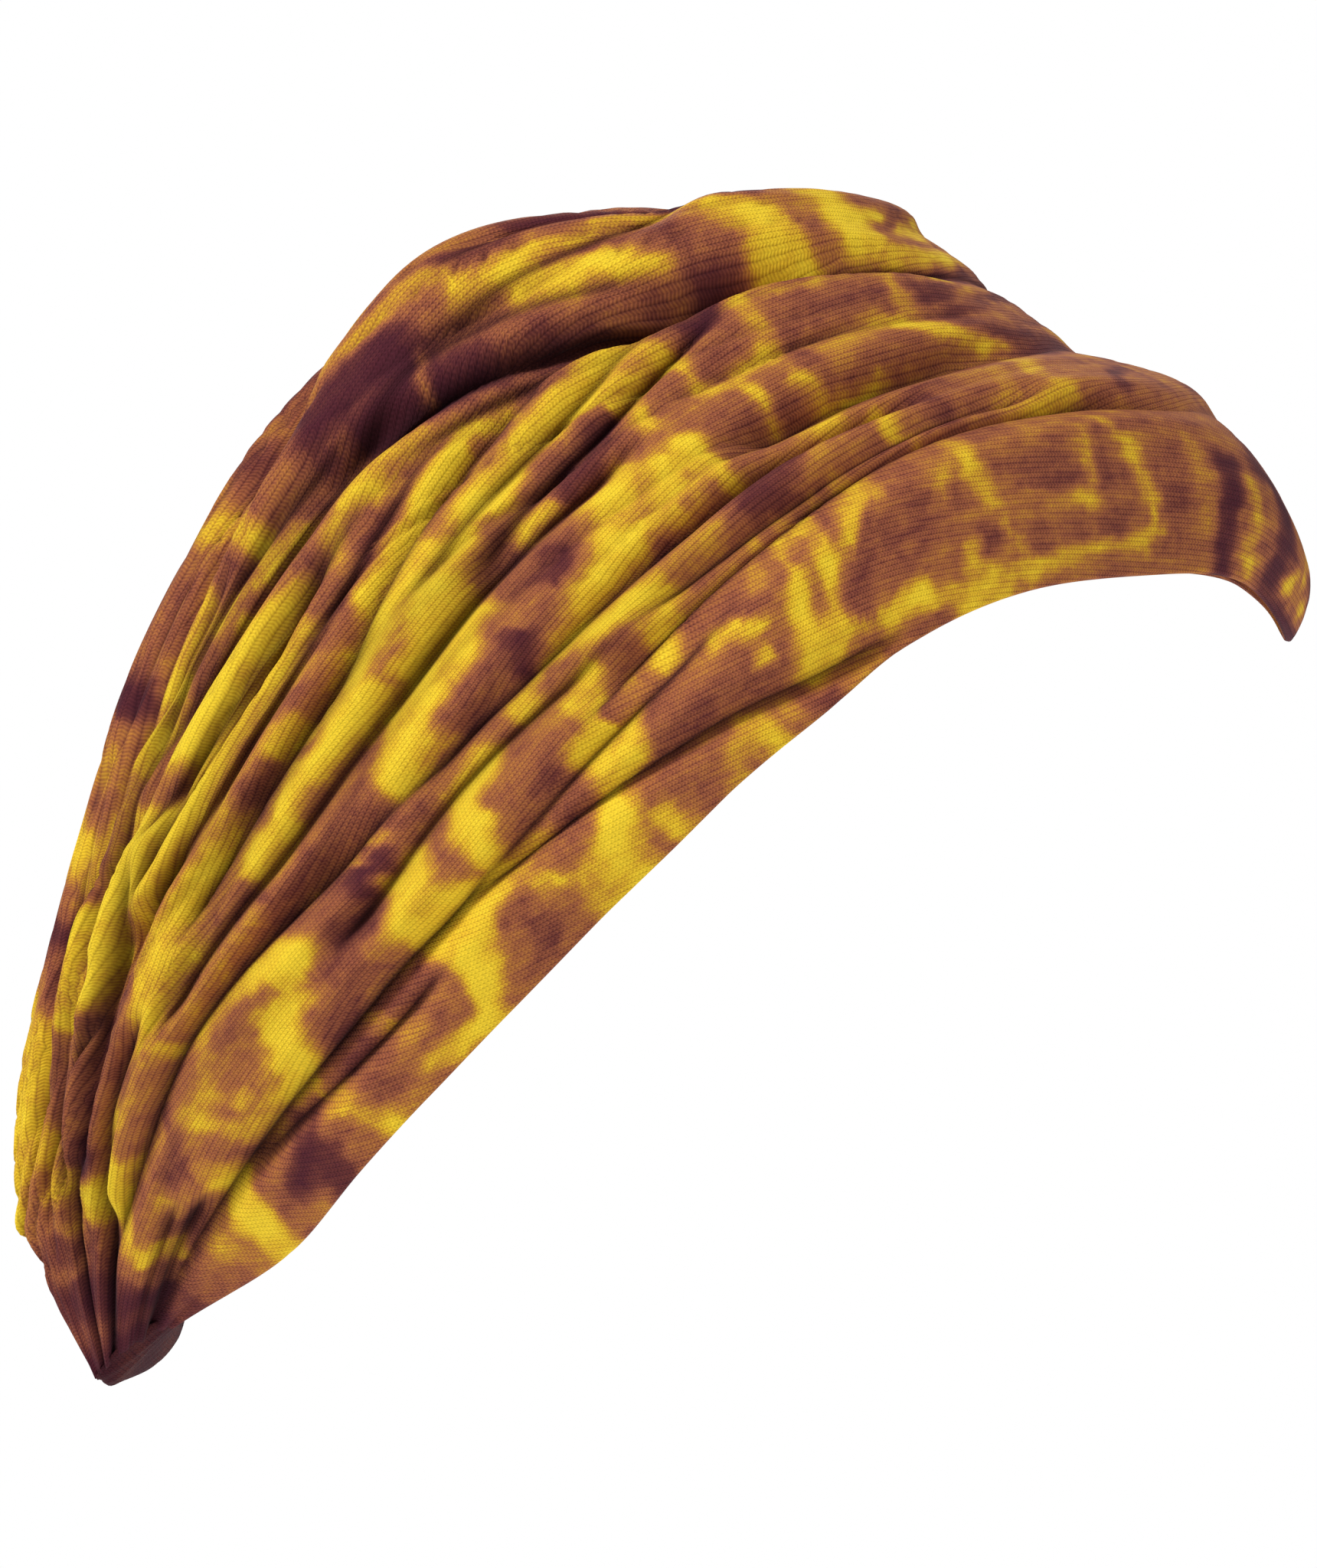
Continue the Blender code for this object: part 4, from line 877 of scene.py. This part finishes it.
def build_band():
    """The band of dyed jersey, folded at its front edge and gathered at the nape."""
    stations = np.linspace(0, STATION_COUNT, STEPS_ALONG + 1)
    lines = guide_lines(stations)
    even = np.broadcast_to(np.linspace(0, 1, EVEN_SAMPLES), (len(stations), EVEN_SAMPLES))
    section_length = lengths(base_surface(lines, stations, even), 1)[:, -1]
    form = (stations, lines, section_length, crease_lines(stations, section_length))
    outer, outer_places, outer_dye, outer_painted_shade = cloth_layer(form, OUTER_STEPS_ACROSS, False)
    inner, inner_places, inner_dye, inner_painted_shade = cloth_layer(form, INNER_STEPS_ACROSS, True)
    # the outer face carries the painted shade of its creases, the inner face none
    band = add_tube("band_cloth", ((outer, outer_places), (inner, inner_places)),
                    {"dye": (outer_dye, inner_dye), "painted_shade": (outer_painted_shade, 0 * inner_painted_shade)})
    band.data.materials.append(jersey("tie_dye_jersey"))
    faces = []
    for face in (outer, inner):
        columns = np.linspace(0, face.shape[1] - 1, END_SAMPLES).astype(int)
        faces.append(face[:, columns])
    return band, faces


def gathered_end(outer, inner, across):
    """Smooth line along the middle of the band's right end, and the direction that leads away from it."""
    every = np.linspace(0, 1, outer.shape[1])
    middle = 0.5 * (outer[0] + inner[0])
    curve = [np.polyfit(every, middle[:, k], 4) for k in range(3)]
    line = np.stack([np.polyval(part, across) for part in curve], axis=1)
    over = line[-1] - line[0]
    away = np.cross(grid_normals(0.5 * (outer + inner))[0].mean(axis=0), over)
    away /= np.linalg.norm(away)
    return line, away


def casing_rows(outer, inner, across, side):
    """Middle of the casing's cloth: rows from one gathered end to the other, in millimetres.

    Each half turns from the end's direction to level, and then runs straight to the middle plane."""
    line, away = gathered_end(outer, inner, across)
    below = np.array(CASING_DOWN)
    drop = CASING_DROP * (1 - (side - CASING_SKEW) ** 2)[:, None]
    seam = line - away * CASING_TUCK
    corner = seam + away * ((CASING_TUCK + drop) / (away @ below))
    turned = corner + np.array([CASING_TURN, 0.0, 0.0])
    centre = line[0] + (line[-1] - line[0]) * across[:, None]
    centre = (centre + below * (drop + CASING_BOW)) * np.array([0.0, 1.0, 1.0])
    half = []
    for t in np.linspace(0, 1, CASING_STEPS_TURNING + 1):
        half.append((1 - t) ** 2 * seam + 2 * t * (1 - t) * corner + t * t * turned)
    for t in np.linspace(0, 1, CASING_STEPS_STRAIGHT + 1)[1:]:
        row = turned + (centre - turned) * smooth_step(t, 0, 1)
        row[:, 0] = turned[:, 0] * (1 - t)
        half.append(row)
    mirror = np.array([-1.0, 1.0, 1.0])
    return np.array([row * mirror for row in half[:-1]] + half[::-1])


def build_nape_casing(outer, inner):
    """The narrow casing under the nape that joins the two gathered ends."""
    turn = np.linspace(CASING_TIP, math.pi - CASING_TIP, CASING_STEPS_ACROSS + 1)
    across = 0.5 - 0.5 * np.cos(turn)
    side = 2 * across - 1
    rows = casing_rows(outer, inner, across, side)
    along = np.linspace(0, 1, len(rows))[:, None]
    pucker = CASING_PUCKER * np.sin(2 * math.pi * CASING_PUCKERS * along + 2.0 * np.sin(5 * across)) ** 2
    thickness = CASING_THICKNESS * np.sqrt(1 - np.abs(side) ** 3) * (1 - pucker)
    raised = 0.5 * thickness[..., None] * grid_normals(rows)
    knit = casing_places(rows)
    dye = CASING_DYE + (1 - CASING_DYE) * np.sin(9 * across + 14 * along)
    shade = np.full(dye.shape, CASING_SHADE)
    # the casing's painted shade, as under the folds, goes into the same attribute as the band's crease shade
    casing = add_tube("nape_casing_cloth", ((rows + raised, knit), (rows - raised, knit)),
                      {"dye": (dye, dye), "painted_shade": (shade, shade)})
    casing.data.materials.append(jersey("casing_jersey"))
    return casing


def casing_places(rows):
    """Knit places of the casing: its ribs run from one gathered end to the other."""
    both = np.stack([lengths(rows, 0), lengths(rows, 1)], axis=2)
    return np.stack([both[:-1, :-1], both[1:, :-1], both[1:, 1:], both[:-1, 1:]], axis=2)


class Nodes:
    """A material's nodes, added and joined by short calls."""

    def __init__(self, material):
        self.tree = material.node_tree
        self.tree.nodes.clear()

    def add(self, kind, inputs=(), **settings):
        """A node with the given settings; inputs are values or sockets in order, None to skip one."""
        made = self.tree.nodes.new(kind)
        for name, value in settings.items():
            setattr(made, name, value)
        for socket, value in zip(made.inputs, inputs):
            self.feed(socket, value)
        return made

    def feed(self, socket, value):
        """Joins a socket to another one, or sets its value."""
        if isinstance(value, bpy.types.NodeSocket):
            self.tree.links.new(value, socket)
        elif value is not None:
            socket.default_value = value

    def fill(self, node, inputs):
        """Feeds a node's inputs by their names."""
        for name, value in inputs.items():
            self.feed(node.inputs[name], value)

    def math(self, operation, *inputs):
        """The result of a Math node."""
        return self.add("ShaderNodeMath", inputs, operation=operation).outputs[0]

    def painted(self, name):
        """The value of one of the mesh's attributes."""
        return self.add("ShaderNodeAttribute", attribute_name=name, attribute_type="GEOMETRY").outputs["Fac"]

    def plus(self, first, second):
        return self.math("ADD", first, second)

    def minus(self, first, second):
        return self.math("SUBTRACT", first, second)

    def times(self, first, second):
        return self.math("MULTIPLY", first, second)


def grain(nodes, name, place):
    """One of the material's noises, centred on nought."""
    scale, detail, roughness, strength = GRAINS[name]
    made = nodes.add("ShaderNodeTexNoise")
    nodes.fill(made, {"Vector": place, "Scale": scale, "Detail": detail, "Roughness": roughness})
    return nodes.times(nodes.minus(made.outputs[0], 0.5), strength)


def knit_height(nodes, along, over):
    """Height of the knitted stitches, from 0 in the grooves between the ribs to 1 on the loops."""
    rib = nodes.math("FRACT", nodes.math("DIVIDE", over, WALE_PITCH))
    from_middle = nodes.math("ABSOLUTE", nodes.minus(nodes.times(rib, 2.0), 1.0))
    course = nodes.plus(nodes.math("DIVIDE", along, COURSE_PITCH), nodes.times(from_middle, STITCH_SLANT))
    loop = nodes.math("COSINE", nodes.times(course, 2 * math.pi))
    groove = nodes.times(nodes.math("POWER", from_middle, GROOVE_SHARPNESS), GROOVE_DEPTH)
    dip = nodes.times(nodes.math("POWER", nodes.minus(1.0, from_middle), DIP_SHARPNESS), DIP_DEPTH)
    leg = nodes.minus(nodes.minus(LEG_HEIGHT, groove), dip)
    return nodes.plus(leg, nodes.times(loop, LOOP_HEIGHT))


def dye_strength(nodes, place, along, over, height):
    """The dye painted on the mesh, mottled most where it is middling."""
    dye = nodes.painted("dye")
    middling = nodes.times(nodes.minus(dye, nodes.times(dye, dye)), MIDDLING_MOTTLE)
    drawn_out = nodes.add("ShaderNodeCombineXYZ", (nodes.math("DIVIDE", along, RIB_STREAK_LENGTH), over))
    speckle = nodes.plus(grain(nodes, "fleck", place), grain(nodes, "streak", drawn_out.outputs[0]))
    relief = nodes.times(nodes.minus(RIB_MEAN, height), RIB_DYE)
    mottle = nodes.plus(nodes.plus(grain(nodes, "blotch", place), speckle), relief)
    return nodes.plus(dye, nodes.times(mottle, nodes.plus(middling, LEAST_MOTTLE)))


def jersey(name):
    """Dyed single jersey: blotched dye, knitted ribs, a soft nap, and painted shade in its creases and in
    the grooves of its knit.
    """
    material = bpy.data.materials.new(name)
    material.use_nodes = True
    nodes = Nodes(material)
    place = nodes.add("ShaderNodeTexCoord").outputs["Object"]
    knit = nodes.add("ShaderNodeUVMap", uv_map="knit").outputs[0]
    along, over = nodes.add("ShaderNodeSeparateXYZ", (knit,)).outputs[:2]
    height = knit_height(nodes, along, over)

    dyed = nodes.add("ShaderNodeValToRGB", (dye_strength(nodes, place, along, over, height),))
    ramp = dyed.color_ramp
    while len(ramp.elements) < len(DYE_RAMP):
        ramp.elements.new(0.5)
    for element, (position, red, green, blue) in zip(ramp.elements, DYE_RAMP):
        element.position = position
        element.color = (red, green, blue, 1.0)

    # painted shade: the creases' painted shade darkens the colour
    open_share = nodes.minus(1.0, nodes.times(nodes.painted("painted_shade"), HOLLOW_SHADE))
    groove_tone = nodes.plus(grain(nodes, "speck", place), GROOVE_TONE)
    # painted shade of the knit: grooves darker, loops lighter
    depth = nodes.times(nodes.plus(nodes.times(height, RIB_TONE), groove_tone), open_share)
    tone = nodes.add("ShaderNodeCombineXYZ", (depth, depth, depth)).outputs[0]
    colour = nodes.add("ShaderNodeMix", data_type="RGBA", blend_type="MULTIPLY")
    for index, value in ((0, 1.0), (6, dyed.outputs[0]), (7, tone)):
        nodes.feed(colour.inputs[index], value)

    bump = nodes.add("ShaderNodeBump")
    stitches = nodes.plus(height, grain(nodes, "yarn", place))
    nodes.fill(bump, {"Strength": BUMP_STRENGTH, "Distance": BUMP_DISTANCE, "Height": stitches})
    rough = nodes.plus(grain(nodes, "nap", place), ROUGHNESS)
    shader = nodes.add("ShaderNodeBsdfPrincipled")
    nodes.fill(shader, {"Base Color": colour.outputs[2], "Roughness": rough, "Normal": bump.outputs[0],
                        "Specular IOR Level": SPECULAR, "Sheen Weight": SHEEN, "Sheen Roughness": 0.5})
    out = nodes.add("ShaderNodeOutputMaterial")
    nodes.feed(out.inputs["Surface"], shader.outputs[0])
    return material


def build_floor():
    """A plain pale disc for the scene to stand over."""
    mesh = bpy.data.meshes.new("floor")
    turns = np.linspace(0, 2 * math.pi, FLOOR_SIDES + 1)[:-1]
    ring = [(FLOOR_RADIUS * math.cos(a), FLOOR_RADIUS * math.sin(a), FLOOR_LEVEL) for a in turns]
    mesh.from_pydata(ring, [], [tuple(range(len(ring)))])
    floor = add_object("floor", mesh)
    material = bpy.data.materials.new("pale_floor")
    material.use_nodes = True
    shader = material.node_tree.nodes["Principled BSDF"]
    shader.inputs["Base Color"].default_value = (*FLOOR_COLOUR, 1.0)
    shader.inputs["Roughness"].default_value = 0.9
    shader.inputs["Emission Color"].default_value = (1.0, 1.0, 1.0, 1.0)
    shader.inputs["Emission Strength"].default_value = FLOOR_GLOW
    mesh.materials.append(material)


def aim(thing, target):
    """Turns a light or camera to look at a place."""
    direction = Vector(target) - thing.location
    thing.rotation_euler = direction.to_track_quat("-Z", "Y").to_euler()


def add_lights():
    """Soft boxes round the band and a pale surround."""
    target = Vector(CAMERA_AIM)
    for name, x, y, z, size, power in LIGHTS:
        lamp = bpy.data.lights.new(name, "AREA")
        lamp.shape = "DISK"
        lamp.size = size
        lamp.energy = power
        thing = add_object(name, lamp)
        thing.location = target + Vector((x, y, z))
        aim(thing, target)
    world = bpy.data.worlds.new("pale_surround")
    world.use_nodes = True
    nodes = world.node_tree.nodes
    seen = nodes.new("ShaderNodeLightPath")
    share = nodes.new("ShaderNodeMapRange")
    share.inputs["To Min"].default_value = SURROUND_GLOW
    share.inputs["To Max"].default_value = SURROUND_SEEN
    background = nodes["Background"]
    background.inputs["Color"].default_value = (1.0, 1.0, 1.0, 1.0)
    world.node_tree.links.new(seen.outputs["Is Camera Ray"], share.inputs["Value"])
    world.node_tree.links.new(share.outputs[0], background.inputs["Strength"])
    bpy.context.scene.world = world


def set_colours():
    """Plain colours, as a camera with no film look records them."""
    view = bpy.context.scene.view_settings
    view.view_transform = "Standard"
    view.look = "None"


def add_camera():
    """The camera on the wearer's right, level with the band."""
    lens = bpy.data.cameras.new("camera")
    lens.sensor_fit = "AUTO"
    lens.sensor_width = SENSOR
    lens.lens = 0.5 * SENSOR * CAMERA_DISTANCE / VIEW_HALF_HEIGHT
    lens.clip_end = 20.0
    camera = add_object("camera", lens)
    camera.location = Vector(CAMERA_AIM) - Vector((CAMERA_DISTANCE, 0.0, 0.0))
    aim(camera, CAMERA_AIM)
    bpy.context.scene.camera = camera


band, band_faces = build_band()
casing = build_nape_casing(*band_faces)
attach(band, "root")
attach(casing, "root")
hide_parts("band")
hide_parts("nape_casing")
build_floor()
add_lights()
add_camera()
set_colours()
